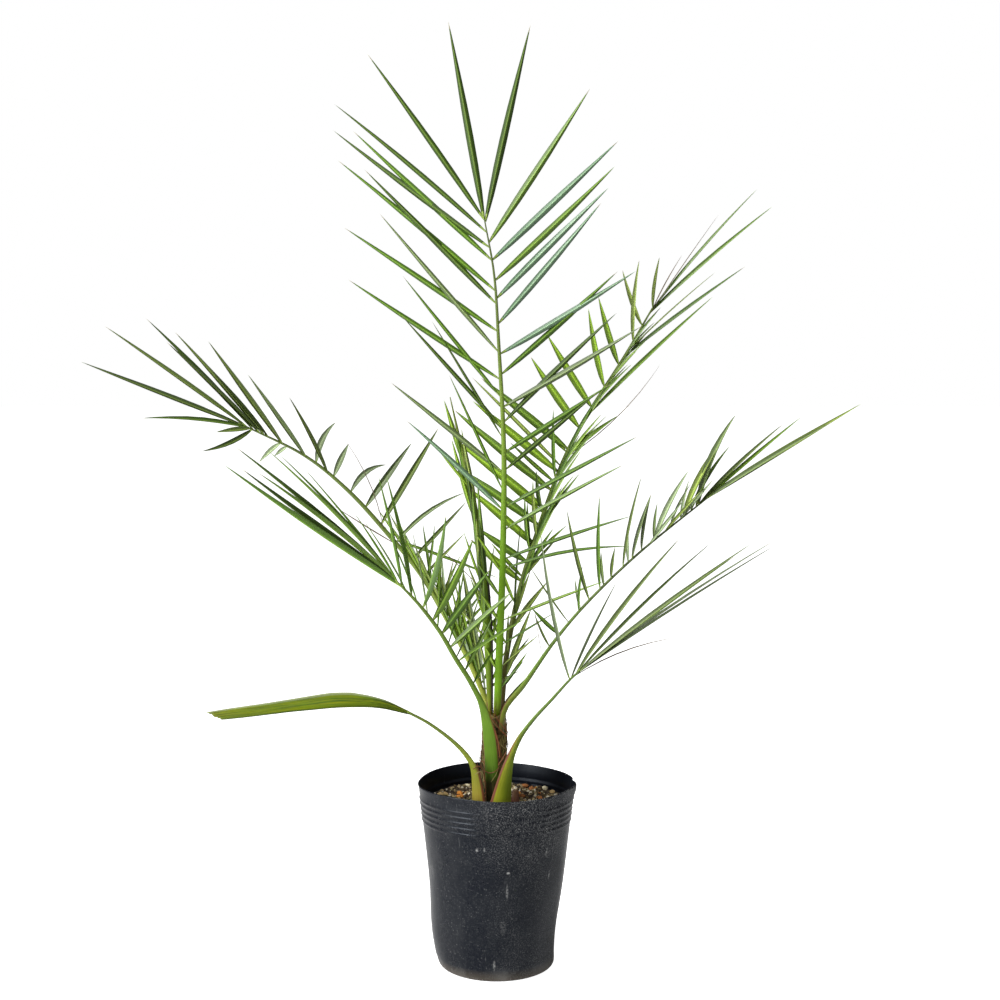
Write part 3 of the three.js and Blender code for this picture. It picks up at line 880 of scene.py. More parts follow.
addPiece("stemBark", meshFrom("stemBark", makeStem()), [barkMaterial()], ["stem"])
fibreTones = tonesOf(plainFibre, "stemFibre", stem["fibreColours"])
addPiece("stemFibres", makeFibres().mesh("stemFibres"), fibreTones)
print("stem made,", stem["fibres"] + stem["curls"] + stem["tufts"], "fibres")


# leaf tones, dealt out by leaflet

leafTones = {
    # colour, roughness and gloss
    "deep": (shade(44, 66, 12), 0.45, 0.25),
    "mid": (shade(62, 92, 18), 0.42, 0.3),
    "bright": (shade(78, 106, 28), 0.38, 0.4),
    "young": (shade(98, 126, 28), 0.42, 0.35),
    "grey": (shade(82, 98, 58), 0.4, 0.4),
    "moss": (shade(66, 82, 32), 0.42, 0.3),
    "dusk": (shade(38, 54, 14), 0.5, 0.2),
    # blue and silver are pale tones that are partly painted sheen on the leaflets that catch the light
    "blue": (shade(84, 112, 84), 0.28, 0.6),
    "olive": (shade(106, 122, 56), 0.45, 0.3),
    "silver": (shade(114, 128, 96), 0.5, 0.3),
    "thread": (shade(96, 84, 70), 0.7, 0.2),
    "heel": (shade(100, 120, 48), 0.6, 0.4),
    "dry": (shade(112, 106, 80), 0.6, 0.4),
}


def leafMaterial(name, colour, roughness, gloss):
    material, tree, shader = newMaterial("leaf" + name.title(), roughness, gloss)
    vein = tuple(min(1, 2.4 * c + 0.05) for c in colour[:2]) + (2.4 * colour[2] + 0.015, 1)
    # Edge sets how strongly painted shade darkens the margins
    veins = placeGroup(tree, veinGroup, Colour=colour, Vein=vein, Fineness=4.0, Amount=0.16,
                       Keel=0.8, Edge=0.6)
    tree.links.new(veins.outputs["Colour"], shader.inputs["Base Color"])
    return material


leafSkins = {name: leafMaterial(name, *values) for name, values in leafTones.items()}
print("leaf tones made,", len(leafSkins))


# fronds: rib and leaflets by the same rule as the solids, carried to finer shapes

ribShape = {"sides": 20, "stepsPerSpan": 7, "flat": 1e-6}
leafletShape = {
    # share of the length and of the half width, root to tip
    "outline": [(0, 0.24), (0.04, 0.46), (0.14, 0.78), (0.28, 0.97), (0.42, 1), (0.58, 0.88), (0.74, 0.62),
                (0.88, 0.34), (0.96, 0.15), (1, 0)],
    "thickness": 0.5,
    "thickShare": 0.6,  # thickness at most, per half width
    "thinning": 0.6,  # share of the thickness lost by the tip
    "flank": 0.7,  # where the heel sits, per half width of the rib
    "fold": 0.65,
    "crown": 0.06,  # how far each half bulges, per half width
    "bow": 0.012,  # rise of the middle, per length
    "sway": 0.008,  # seeded bend sideways, per length
    "roll": 9,  # seeded turn about its length, in degrees
    "jitter": 0.5,  # seeded change of its angles, in degrees
    "frondSeed": 100,
    "rowSeed": 20,
    "veinSeed": 0.37,
    "dryOver": -0.2,  # a leaflet's tip is dry where its seeded value is over this
}
towardViewer = Vector((0, -1, 0))


def ribAt(frond, share):
    origin, along = frond["lineAt"](share)
    up = keyedVector(frond["face"], share)
    up = (up - along * up.dot(along)).normalized()
    return origin, up, along.cross(up)


def makeRib(frond):
    # the sheath, stalk and rib as one tapering limb, its section curled round the stem at the foot
    bm = barOf(ribShape["sides"], ribShape["stepsPerSpan"] * (len(frond["line"]) - 1))
    along, across = [], []
    for vert in bm.verts:
        x, z, share = vert.co.x, vert.co.y, min(max(vert.co.z + 0.5, 0), 1)
        origin, up, side = ribAt(frond, share)
        wide = x * keyed(frond["halfWidth"], share)
        depth = z * keyed(frond["halfDepth"], share)
        curl = keyed(frond["curl"], share)
        turn = wide * curl
        sideways = math.sin(turn) / curl if curl > ribShape["flat"] else wide
        inward = (1 - math.cos(turn)) / curl if curl > ribShape["flat"] else 0
        shift = side * (sideways - depth * math.sin(turn)) * mm
        vert.co = origin + shift + up * (inward + depth * math.cos(turn)) * mm
        along.append(share)
        across.append(x)
    mesh = meshFrom(frond["piece"] + "Rib", bm)
    writePlaces(mesh, along, across, frond["index"])
    return mesh


def leafletArrays(root, direction, normal, length, halfWidth, curve):
    # a keeled blade: six corners to its section, closing to a point
    side = direction.cross(normal)
    left = direction.cross(Vector((0, 1, 0))).normalized()
    outline = leafletShape["outline"]
    stations = len(outline) - 1
    thick = min(leafletShape["thickness"], leafletShape["thickShare"] * halfWidth)
    fold, crown = leafletShape["fold"], leafletShape["crown"]
    corners = ((-1, 1, 0), (-0.5, 0.5, -crown), (0, 0, 0), (0.5, 0.5, -crown), (1, 1, 0), (0, 0, -1))
    points, along, across = [], [], []
    for station in range(stations):
        q, wide = outline[station][0], halfWidth * outline[station][1]
        arch = length * 4 * q * (1 - q)
        offset = direction * length * q + normal * arch * leafletShape["bow"] + left * arch * curve
        middle = root + offset * mm
        for x, lift, under in corners:
            drop = thick * (1 - leafletShape["thinning"] * q) if under == -1 else -under * wide
            points.append(middle + (side * x * wide + normal * (lift * wide * fold - drop)) * mm)
            along.append(q)
            across.append(x)
    points.append(root + direction * length * mm)
    along.append(1)
    across.append(0)
    count = len(corners)
    last, tip = (stations - 1) * count, stations * count
    faces = [tuple(range(count - 1, -1, -1)), *ringFaces(stations, count)]
    faces += [(last + k, last + (k + 1) % count, tip) for k in range(count)]
    bands = [0, *(station for station in range(stations) for _ in range(count))]
    return points, faces, bands, along, across


def makeLeaflets(frond, toneNames):
    # every row's leaflets by its keys, with their heels on the rib's flank
    blades = Joined()
    heel, dry = len(toneNames), len(toneNames) + 1
    last = len(leafletShape["outline"]) - 2
    for rowIndex, row in enumerate(frond["rows"]):
        jitter = row.get("jitter", leafletShape["jitter"])
        for index in range(row["count"]):
            u = index / max(row["count"] - 1, 1)
            seed = leafletShape["frondSeed"] * frond["index"] + leafletShape["rowSeed"] * rowIndex + index
            rise = math.radians(keyed(row["rise"], u) + jitter * scatter(seed, 1))
            reach = math.radians(keyed(row["reach"], u) + jitter * scatter(seed, 2))
            flat = math.cos(reach)
            direction = Vector((flat * math.cos(rise), math.sin(reach), flat * math.sin(rise)))
            share = keyed(row["share"], u)
            origin, up, side = ribAt(frond, share)
            tip = origin + direction * keyed(row["length"], u) * mm
            flank = leafletShape["flank"] * keyed(frond["halfWidth"], share)
            root = origin + side * (flank if direction.dot(side) > 0 else -flank) * mm
            direction = (tip - root).normalized()
            facing = up + towardViewer * row.get("lean", frond["lean"])
            normal = (facing - direction * facing.dot(direction)).normalized()
            roll = math.radians(leafletShape["roll"]) * scatter(seed, 4)
            normal = Matrix.Rotation(roll, 3, direction) @ normal
            curve = keyed(row.get("curve", [0]), u) + leafletShape["sway"] * scatter(seed, 6)
            points, faces, bands, along, across = leafletArrays(
                root, direction, normal, (tip - root).length / mm, keyed(row["halfWidth"], u), curve)
            tone = toneNames.index(row["tones"][index % len(row["tones"])])
            dryFrom = last if scatter(seed, 7) > leafletShape["dryOver"] else last + 1
            slots = [heel if band == 0 else dry if band >= dryFrom else tone for band in bands]
            seeds = [seed * leafletShape["veinSeed"]] * len(points)
            blades.add(points, faces, slots, along=along, across=across, seed=seeds)
    return blades


def ribMaterial(frond):
    # colour bands along the limb, with brown margins on the sheath
    material, tree, shader = newMaterial(frond["piece"] + "RibSkin", 0.4, 0.22)
    bands = rampAlong(tree, frond["ribTints"])
    across = pointValue(tree, "across")
    if "marginSide" in frond:
        across = product(tree, across, frond["marginSide"])
    else:
        across = maths(tree, "ABSOLUTE", across)
    start = frond.get("marginFrom", 0.86)
    foot = mapRange(tree, pointValue(tree, "along"), frond["marginEnd"] * 0.7, frond["marginEnd"], 1, 0)
    tinged = mapRange(tree, across, -0.2, 0.6, 0, 0.8 if "inner" in frond else 0)
    warm = mixColours(tree, product(tree, tinged, foot), bands, frond.get("inner", frond["margin"]))
    edge = product(tree, mapRange(tree, across, start, start + 0.12), foot)
    margin = mixColours(tree, edge, warm, frond["margin"])
    pale = mixColours(tree, 0.24, margin, shade(180, 188, 96))
    veins = placeGroup(tree, veinGroup, Colour=margin, Vein=pale, Fineness=7.0, Amount=0.4)
    tree.links.new(veins.outputs["Colour"], shader.inputs["Base Color"])
    addBump(tree, shader, veins.outputs["Height"], 0.0003, 0.25)
    return material


def growFrond(frond):
    frond["lineAt"] = lineOf(frond["line"])
    addPiece(frond["piece"] + "Rib", makeRib(frond), [ribMaterial(frond)], [frond["node"]])
    if frond["rows"]:
        toneNames = list(dict.fromkeys(name for row in frond["rows"] for name in row["tones"]))
        skins = [leafSkins[name] for name in (*toneNames, "heel", "dry")]
        blades = makeLeaflets(frond, toneNames).mesh(frond["piece"] + "Leaflets")
        addPiece(frond["piece"] + "Leaflets", blades, skins, [frond["node"]], smooth=False)
    print(frond["piece"], "grown")


def leaflets(count, share, rise, reach, length, halfWidth, tones, **more):
    # one row: keys from its first leaflet to its last, angles in degrees, and tones dealt out in turn
    return dict(more, count=count, share=share, rise=rise, reach=reach, length=length,
                halfWidth=halfWidth, tones=tones.split())


sheathBrown = shade(96, 52, 36)
frontLeft = {
    "index": 0, "piece": "frondFrontLeft", "node": "frond_front_left", "slot": "frond",
    "line": [(-3.8, -18, -5), (-5.4, -17.4, 54), (-11.5, -20, 95), (-23, -28, 123), (-38, -40, 150),
             (-52, -52, 177), (-70, -66, 204), (-88, -80, 226)],
    "face": [(0.1, 0.98, 0.1), (0.3, 0.8, 0.45), (0.5, 0.6, 0.62)],
    "halfWidth": [5.6, 7.6, 6.9, 3, 2.5, 2.3, 2.1, 1.4],
    "halfDepth": [1.6, 1.6, 1.8, 2.1, 1.9, 1.7, 1.5, 0.9],
    "curl": [0.066, 0.066, 0.05, 0.02, 0, 0, 0, 0],
    "lean": 0.4,
    "rows": [
        leaflets(7, [0.98, 0.87, 0.74, 0.61], [103, 102, 75, 63, 53, 42, 33], [10, 2, -6],
                 [104, 112, 88, 85, 75, 80, 76], [4, 4.4, 4.6, 4.1, 3.6, 3.1, 2.6],
                 "mid mid mid bright mid bright bright"),
        leaflets(8, [1, 0.98], [122, 129, 133, 134, 139, 141, 142, 144], [4, 0, -10],
                 [75, 135, 160, 170, 195, 165, 180, 195], [1.6, 1.8, 2.2, 2.8, 3.6, 3.8, 4, 4.8],
                 "mid mid mid bright deep bright deep mid", curve=[0, 0, 0, 0, 0, 0.01, 0.02], lean=-0.3),
        leaflets(8, [0.5, 0.95], [52, 60, 70, 84, 98, 114, 124], [34, 32, 28, 20], [52, 80, 88, 80],
                 [2.1], "mid bright grey"),
    ],
    # the first tints darken the sheath's foot: painted shade low down among the sheaths
    "ribTints": tints((0, 30, 22, 15), (0.115, 36, 28, 17), (0.145, 66, 98, 12), (0.23, 82, 120, 14),
                      (0.4, 86, 120, 24), (1, 84, 108, 38)),
    "margin": shade(124, 66, 42), "marginEnd": 0.42, "marginFrom": 0.78,
}
frontRight = {
    "index": 1, "piece": "frondFrontRight", "node": "frond_front_right", "slot": "frond",
    "line": [(3, -24, -5), (10, -26, 40), (19, -30, 67), (33, -39, 90), (52, -51, 114), (67, -64, 134),
             (76, -72, 144)],
    "face": [(-0.25, 0.95, 0.1), (-0.5, 0.75, 0.4), (-0.45, 0.55, 0.7)],
    "halfWidth": [13, 8.4, 4.2, 2.5, 2, 1.7, 1.2],
    "halfDepth": [1.6, 2, 2.1, 1.7, 1.4, 1.2, 0.9],
    "curl": [0.055, 0.05, 0.03, 0, 0, 0, 0],
    "lean": 0.45,
    "rows": [
        leaflets(2, [0.925, 0.92], [101.5, 64], [-10, 12], [145, 100], [2.9, 2.7], "silver grey"),
        leaflets(6, [0.965, 1], [51, 44, 38, 37, 35, 35], [14, 6, -8, 0, -5, -10],
                 [162, 174, 200, 180, 214, 212], [3.5, 2.2, 2.8, 2.4, 2.2, 2],
                 "moss dusk moss deep grey dusk", lean=0.9),
        leaflets(1, [0.94], [22], [-6], [108], [0.7], "thread", curve=[0.05], lean=1.5),
    ],
    "ribTints": tints((0, 122, 118, 30), (0.12, 124, 142, 32), (0.3, 122, 144, 42), (0.55, 92, 118, 50),
                      (1, 80, 104, 48)),
    "margin": shade(112, 60, 50), "marginEnd": 0.5, "marginFrom": 0.7, "marginSide": 1,
    "inner": shade(142, 142, 32),
}
strapStalk = {
    "index": 2, "piece": "strapLeafStalk", "node": "strap_leaf_stalk", "slot": "strap_leaf",
    "line": [(-16, -25, -5), (-19.5, -25, 34), (-25.5, -28, 51), (-39.5, -35, 69), (-62, -45, 89),
             (-82.5, -54.8, 102.7)],
    "face": [(0.25, 0.95, 0.1), (0.45, 0.75, 0.4), (0.4, 0.5, 0.77)],
    "halfWidth": [8, 5.8, 3.1, 2.3, 1.9, 1.8],
    "halfDepth": [1.6, 1.8, 1.8, 1.6, 1.4, 1.2],
    "curl": [0.05, 0.04, 0.02, 0, 0, 0],
    "rows": [],
    "ribTints": tints((0, 104, 84, 40), (0.14, 140, 124, 46), (0.36, 132, 142, 46), (0.6, 112, 130, 48),
                      (1, 96, 116, 40)),
    "margin": shade(112, 62, 42), "marginEnd": 0.4, "marginFrom": 0.62, "marginSide": -1,
}
rightFrond = {
    "index": 4, "piece": "frondRight", "node": "frond_right", "slot": "frond",
    "line": [(3.6, -11.6, 71), (8.4, -12.6, 97), (26, -15, 120), (56, -18, 164), (88, -24, 203),
             (134, -32, 249), (194, -43, 300)],
    "face": [(-0.5, 0.85, 0.1), (-0.6, 0.4, 0.6), (-0.65, 0.25, 0.72)],
    "halfWidth": [3.4, 3.1, 2, 1.7, 1.6, 1.3, 0.7],
    "halfDepth": [1.7, 1.9, 1.6, 1.4, 1.2, 1, 0.7],
    "curl": [0.06, 0.04, 0, 0, 0, 0, 0],
    "lean": 1.1,
    "rows": [
        leaflets(7, [0.33, 0.62], [115, 135, 124, 87, 105, 91, 84], [-14, -10, -6],
                 [38, 40, 70, 45, 90, 90, 30], [1.9, 2.2, 1.1, 1.8, 2.4, 2.6, 2], "moss mid"),
        leaflets(8, [0.67, 0.76, 0.9, 0.97], [81, 76, 82, 66, 66, 64, 60, 69], [-14, -10, -5, -4],
                 [90, 65, 55, 72, 45, 85, 70, 90], [2.3, 2.8, 2.2, 3.1, 1.6, 3.4, 2.3, 4.1],
                 "moss grey grey silver grey olive bright grey", curve=[0, 0.04]),
        leaflets(5, [0.96, 1], [73, 44, 40, 32, 32], [-2, 4, 4, -4, 0], [45, 108, 122, 138, 166],
                 [2, 2.7, 2.2, 2.7, 3.4], "olive moss bright grey olive"),
        leaflets(5, [0.48, 0.9], [98, 86, 78, 67], [66, 58], [56, 66], [1.7], "silver grey"),
        # these lie along the rib in the shade of others: their silver tone partly paints light on them
        leaflets(3, [0.78, 0.9], [55, 51], [-18, -12], [54, 48], [1.7], "silver olive", lean=2, jitter=2),
        leaflets(1, [0.29], [100], [-10], [52], [0.35], "thread"),
    ],
    # the tints darken toward the tip: painted shade of the rib's shadow side
    "ribTints": tints((0, 70, 52, 32), (0.025, 92, 82, 34), (0.06, 112, 122, 34), (0.25, 96, 126, 44),
                      (0.6, 74, 92, 46), (1, 54, 68, 40)),
    "margin": sheathBrown, "marginEnd": 0.15, "marginFrom": 0.84, "marginSide": 1,
}
uprightFrond = {
    "index": 5, "piece": "frondUpright", "node": "frond_upright", "slot": "frond",
    "line": [(0.5, -6.2, 87), (2.5, -8, 143), (6, -10, 239), (7, -12, 343), (2, -14, 446), (-2, -15, 506),
             (-11, -16, 557)],
    "face": [(0, 1, 0.05), (0.05, 1, 0.05)],
    "halfWidth": [3.6, 3.5, 3, 2.5, 1.9, 1.3, 0.6],
    "halfDepth": [2.4, 2.5, 2.3, 2, 1.5, 1.1, 0.6],
    "curl": [0, 0],
    "lean": 0,
    "rows": [
        leaflets(11, [1, 0.975, 0.945, 0.92, 0.86, 0.835, 0.78, 0.74, 0.685, 0.65, 0.59],
                 [125, 139, 143, 137, 140, 135, 146, 131, 147, 129, 132], [20, 18, 10, 2, -2],
                 [210, 205, 200, 190, 200, 180, 175, 170, 170, 145, 140],
                 [2.9, 2.4, 2.8, 2.9, 2.8, 2.8, 2.8, 2.4, 2.7, 2, 2.1],
                 "deep deep deep mid mid deep mid grey mid mid deep"),
        leaflets(4, [0.57, 0.5, 0.465, 0.425], [122, 141, 115, 137], [-3, -6], [127, 135, 120, 125],
                 [1.4, 2.7, 1.6, 2.6], "deep grey mid blue"),
        leaflets(16, [0.955, 0.92, 0.88, 0.845, 0.795, 0.735, 0.695, 0.63, 0.6, 0.54, 0.505, 0.43, 0.385,
                      0.325, 0.305, 0.2],
                 [57, 44, 44, 45, 49, 31, 41, 30, 43, 32, 39, 27, 28, 18, 9, 20], [20, 15, 11, 8, 6, 5],
                 [190, 175, 165, 155, 155, 155, 150, 155, 150, 120, 115, 145, 130, 130, 125, 110],
                 [3.5, 3.4, 3, 2.7, 2.2, 1.6],
                 "bright blue bright blue blue blue mid grey deep mid deep mid bright mid mid young",
                 curve=[0, 0, 0, 0, 0, 0, 0, -0.01, 0, 0, 0, 0, 0, 0, 0.05, 0]),
        leaflets(2, [1, 0.995], [100, 77], [12], [195], [3.6], "deep"),
        leaflets(5, [0.1, 0.3], [122, 128, 126], [14, 8], [26, 44], [1.9], "young bright"),
        leaflets(3, [0.06, 0.15], [48, 30], [-8, 0], [38, 62], [1.1], "mid olive"),
    ],
    "ribTints": tints((0, 122, 134, 24), (0.05, 102, 146, 6), (0.3, 94, 136, 8), (0.6, 96, 120, 36),
                      (0.8, 80, 98, 42), (1, 62, 76, 38)),
    "margin": sheathBrown, "marginEnd": 0.02,
}
spear = {
    "index": 6, "piece": "frondSpear", "node": "frond_spear", "slot": "young_frond",
    "line": [(-6, 1.8, 88), (-8, 3, 150), (-12, 4, 208), (-19, 6, 275), (-30, 8, 328), (-38, 10, 365),
             (-44, 11, 392)],
    "face": [(0, 1, 0), (0.2, 1, 0)],
    "halfWidth": [2.6, 3.4, 4, 3.8, 3, 1.9, 0.4],
    "halfDepth": [2.4, 3, 3.2, 3, 2.5, 1.7, 0.4],
    "curl": [0, 0],
    "lean": 0,
    "rows": [
        leaflets(3, [0.62, 0.8], [107, 104, 108], [4, -2, 2], [78, 62, 60], [2.6], "young mid"),
        leaflets(10, [0.1, 0.42], [52, 128, 60, 135, 48, 140, 66, 120], [8, -8, 6], [36, 46, 40, 50],
                 [1.3], "young olive bright", jitter=12),
        leaflets(6, [0.22, 0.66], [94, 97, 95, 100, 99], [-7, -5], [66, 74], [2.3], "bright deep olive"),
        leaflets(2, [0.3, 0.36], [94, 93], [-4], [100, 120], [2.4], "deep bright"),
        leaflets(2, [0.4, 0.72], [136, 131], [-2, 0], [70, 46], [0.4, 1.5], "thread young"),
    ],
    "ribTints": tints((0, 112, 120, 24), (0.12, 88, 114, 14), (0.35, 84, 112, 14), (0.7, 84, 106, 24),
                      (1, 96, 110, 40)),
    "margin": sheathBrown, "marginEnd": 0.02,
}
backRight = {
    "index": 7, "piece": "frondBackRight", "node": "frond_back_right", "slot": "young_frond",
    "line": [(4.6, 6, 88), (10.5, 16, 148), (24, 32, 209), (44, 52, 270), (68, 76, 331), (93, 96, 375),
             (128, 118, 428), (159, 138, 479)],
    "face": [(-0.5, -0.8, 0.1), (-0.6, -0.6, 0.4), (-0.6, -0.55, 0.5)],
    "halfWidth": [2.6, 2.8, 2.7, 2.6, 2.5, 2.2, 1.7, 1],
    "halfDepth": [2.4, 2.5, 2.3, 2, 1.7, 1.4, 1.1, 0.7],
    "curl": [0, 0],
    "lean": 0,
    "rows": [
        leaflets(15, [0.29, 0.38, 0.46, 0.55, 0.665, 0.78, 0.905, 1],
                 [141, 146, 141, 146, 143, 141, 141, 141, 125, 122, 103, 108, 87, 112, 85],
                 [3, 6, 4, 0, -10, -24],
                 [65, 60, 90, 105, 115, 125, 110, 112, 86, 86, 80, 72, 84, 62, 55],
                 [3.7, 4.5, 4.3, 3.8, 3.3],
                 "young bright young bright young bright young bright "
                 "young young young young olive olive olive"),
        leaflets(8, [0.585, 0.7, 0.865, 0.88, 0.985, 0.99, 0.975, 1],
                 [38, 43, 36, 41, 40.5, 48.5, 55, 60], [6, 13], [68, 175, 155, 122, 172, 172, 132, 64],
                 [3.3, 3, 3.2, 1.1, 3.2, 2.5, 0.6, 0.8],
                 "bright bright mid olive bright bright thread thread"),
        leaflets(1, [0.585], [44], [6], [134], [0.6], "thread", curve=[-0.06]),
        leaflets(1, [0.565], [135], [0], [124], [2.2], "olive"),
        leaflets(6, [0.69, 0.92], [52, 47], [10, 20], [54, 42], [1.6], "mid bright young", jitter=3),
        leaflets(3, [0.08, 0.185, 0.2], [68, 52, 86], [0, 0, -6], [71, 58, 100], [3, 2.8, 1.1],
                 "olive olive deep", lean=0.6),
        leaflets(5, [0.58, 0.88], [50, 54, 46, 52], [-10, -14], [62, 48], [1.7], "bright young",
                 jitter=4),
        leaflets(5, [0.3, 0.6], [134, 140, 136], [12, 18], [46, 64, 58], [2.2], "young bright", jitter=3),
        leaflets(9, [0.3, 0.6], [58, 68, 50, 66, 47, 60], [0, -10, 2], [56, 72, 64], [2.6],
                 "bright young mid", jitter=3),
        leaflets(3, [0.535, 0.365], [93, 100, 96], [2], [68, 42, 46], [2.6, 3.2, 2.4], "mid deep"),
        leaflets(13, [0.06, 0.42], [52, 58, 130, 48, 120, 46, 50, 118, 56], [-4, 8, 0], [40, 46, 52, 60],
                 [1.9, 2.4], "young bright olive", jitter=8),
        leaflets(2, [0.02, 0.06], [50, 53], [-20], [44, 34], [1.1, 0.5], "deep"),
    ],
    "ribTints": tints((0, 84, 58, 32), (0.07, 84, 76, 34), (0.2, 84, 94, 36), (0.4, 88, 110, 38),
                      (1, 100, 122, 48)),
    "margin": sheathBrown, "marginEnd": 0.02,
}
backLeft = {
    "index": 8, "piece": "frondBackLeft", "node": "frond_back_left", "slot": "frond",
    "line": [(-5, 8.4, 88), (-26, 16, 136), (-52, 28, 183), (-75, 40, 220), (-104, 50, 254),
             (-145, 64, 297), (-191, 80, 332), (-253, 96, 361)],
    "face": [(0.3, -0.9, 0.2), (0.4, -0.6, 0.6), (0.45, -0.35, 0.8)],
    "halfWidth": [2.8, 2.5, 2.5, 2.5, 2.5, 2.3, 1.9, 1.1],
    "halfDepth": [2.4, 2.4, 2.3, 2, 1.7, 1.4, 1.1, 0.7],
    "curl": [0, 0],
    "lean": 0.8,
    "rows": [
        leaflets(6, [0.975, 0.985, 1, 0.97], [203, 185, 175, 159, 145, 134], [-20, -24, -10, 0, 2, 3],
                 [55, 35, 105, 175, 175, 155], [2.9], "dusk moss deep", curve=[0.08, 0, -0.03, 0, 0, 0]),
        leaflets(6, [0.95, 0.92, 0.74], [136, 130, 130, 125, 124, 116], [0, -3, -10],
                 [130, 135, 90, 125, 100, 85], [2.5, 2.7, 2.3, 3, 2.7, 2.5],
                 "dusk moss dusk moss grey moss"),
        leaflets(3, [0.785, 0.665], [69, 69, 35], [60, 58, 51], [80, 60, 65], [3.2, 2.9], "silver",
                 curve=[0.06, 0, 0.1]),
        leaflets(4, [0.61, 0.43], [54, 59, 35, 46], [34, 17, 12, 10], [90, 115, 85, 80],
                 [3.4, 3.2, 2.2, 2.1], "grey moss", curve=[0, 0, 0.07, 0]),
        leaflets(2, [0.89, 0.87], [220, 215], [26], [35, 20], [3, 2.3], "silver"),
        leaflets(9, [0.1, 0.42], [106, 116, 110, 122, 116, 126], [22, 12, 26], [58, 74, 66, 80, 70],
                 [1.9], "bright olive young"),
        leaflets(1, [0.495], [340], [2], [110], [1.8], "bright"),
        # the low tangle rows here take pale tones that partly paint light over the shade they lie in
        leaflets(22, [0.06, 0.38], [30, 118, 44, 126, 36, 112, 52, 130, 40], [-6, 10, 0, 12, -4],
                 [42, 56, 48, 60], [1.5], "olive young bright", jitter=10),
        leaflets(8, [0.09, 0.34], [92, 112, 86, 106, 80, 100], [10, -4, 6], [50, 72, 56, 66], [1.7],
                 "olive silver young bright", jitter=4),
        leaflets(1, [0.1], [97], [10], [98], [2.6], "grey"),
        leaflets(4, [0.02, 0.1], [94, 97, 100, 103], [-2, 2], [112, 120, 128, 104], [1.7],
                 "olive silver olive young", jitter=2),
        leaflets(2, [0.53, 0.49], [114, 148], [-8, -10], [106, 72], [0.45, 0.8], "thread",
                 curve=[-0.05, 0.02]),
    ],
    "ribTints": tints((0, 136, 142, 50), (0.2, 116, 134, 50), (0.5, 84, 104, 42), (1, 60, 76, 34)),
    "margin": sheathBrown, "marginEnd": 0.02,
}
deadSheath = {
    "index": 9, "piece": "deadSheath",
    "line": [(17, -13, -3), (18, -12, 8), (18.5, -10, 17)],
    "face": [(0, 1, 0), (0, 1, 0.2)],
    "halfWidth": [4.2, 4, 3],
    "halfDepth": [0.8, 0.7, 0.4],
    "curl": [0.12, 0.1],
    "ribTints": tints((0, 60, 34, 28), (0.5, 104, 62, 52), (1, 84, 50, 40)),
    "margin": sheathBrown, "marginEnd": 1,
}
deadSheath["lineAt"] = lineOf(deadSheath["line"])
addPiece("deadSheath", makeRib(deadSheath), [ribMaterial(deadSheath)])
for frond in (frontLeft, frontRight, strapStalk, rightFrond, uprightFrond, spear, backRight, backLeft):
    growFrond(frond)


# strap leaf's blade, one undivided pleated sheet with a torn end

strapBlade = {
    "line": [(-80.5, -53.9, 101.4), (-107, -62, 111.5), (-139, -70, 115), (-179, -80, 113.5),
             (-223, -92, 110.5), (-260, -100.5, 108)],
    "face": [(0.1, -0.5, 0.8), (0.1, -0.55, 0.8), (0.05, -0.6, 0.8)],
    "halfWidth": [2, 5, 7.4, 9.9, 10.3, 9.2, 8, 7.3, 6.9, 6.3, 5.2],
    "curl": [0.01, 0.06, 0.07, 0.07, 0.06, 0.04],
    "rows": 60,
    "columns": 20,
    "pleats": 9,
    "pleatDepth": 0.22,
    "thickness": 0.7,
    "tear": 0.07,  # share of the length that the torn end slants over
    "seed": 3.3,
    "tints": tints((0, 70, 98, 22), (0.3, 66, 96, 0), (0.85, 74, 98, 0), (1, 64, 72, 6)),
    "vein": shade(140, 140, 8),
    "paleEdge": shade(162, 170, 134),
    "darkEdge": shade(48, 66, 14),
    # painted shade in the wrinkles near the neck
    "crease": shade(26, 34, 14),
    "gleam": shade(112, 128, 10),
}


def makeStrapBlade():
    strapBlade["lineAt"] = lineOf(strapBlade["line"])
    bm = bmesh.new()
    bmesh.ops.create_grid(bm, x_segments=strapBlade["columns"], y_segments=strapBlade["rows"], size=1)
    along, across = [], []
    for vert in bm.verts:
        x, share = vert.co.x, vert.co.y / 2 + 0.5
        ragged = 0.006 * math.sin(23 * x) + 0.004 * math.sin(57 * x + 1)
        share = min(max(share * (1 - strapBlade["tear"] * (0.5 - 0.5 * x) + ragged * share), 0), 1)
        origin, up, side = ribAt(strapBlade, share)
        wide, curl = x * keyed(strapBlade["halfWidth"], share), keyed(strapBlade["curl"], share)
        turn = wide * curl
        swell = math.sin(math.pi * min(share * 1.5, 1) / 2 + 0.2)
        pleat = strapBlade["pleatDepth"] * math.cos(strapBlade["pleats"] * math.pi * x) * swell
        inward = (1 - math.cos(turn)) / curl + pleat
        vert.co = origin + side * math.sin(turn) / curl * mm + up * inward * mm
        along.append(share)
        across.append(x)
    bmesh.ops.recalc_face_normals(bm, faces=bm.faces)
    mesh = meshFrom("strapLeafBlade", bm)
    writePlaces(mesh, along, across, strapBlade["seed"])
    return mesh


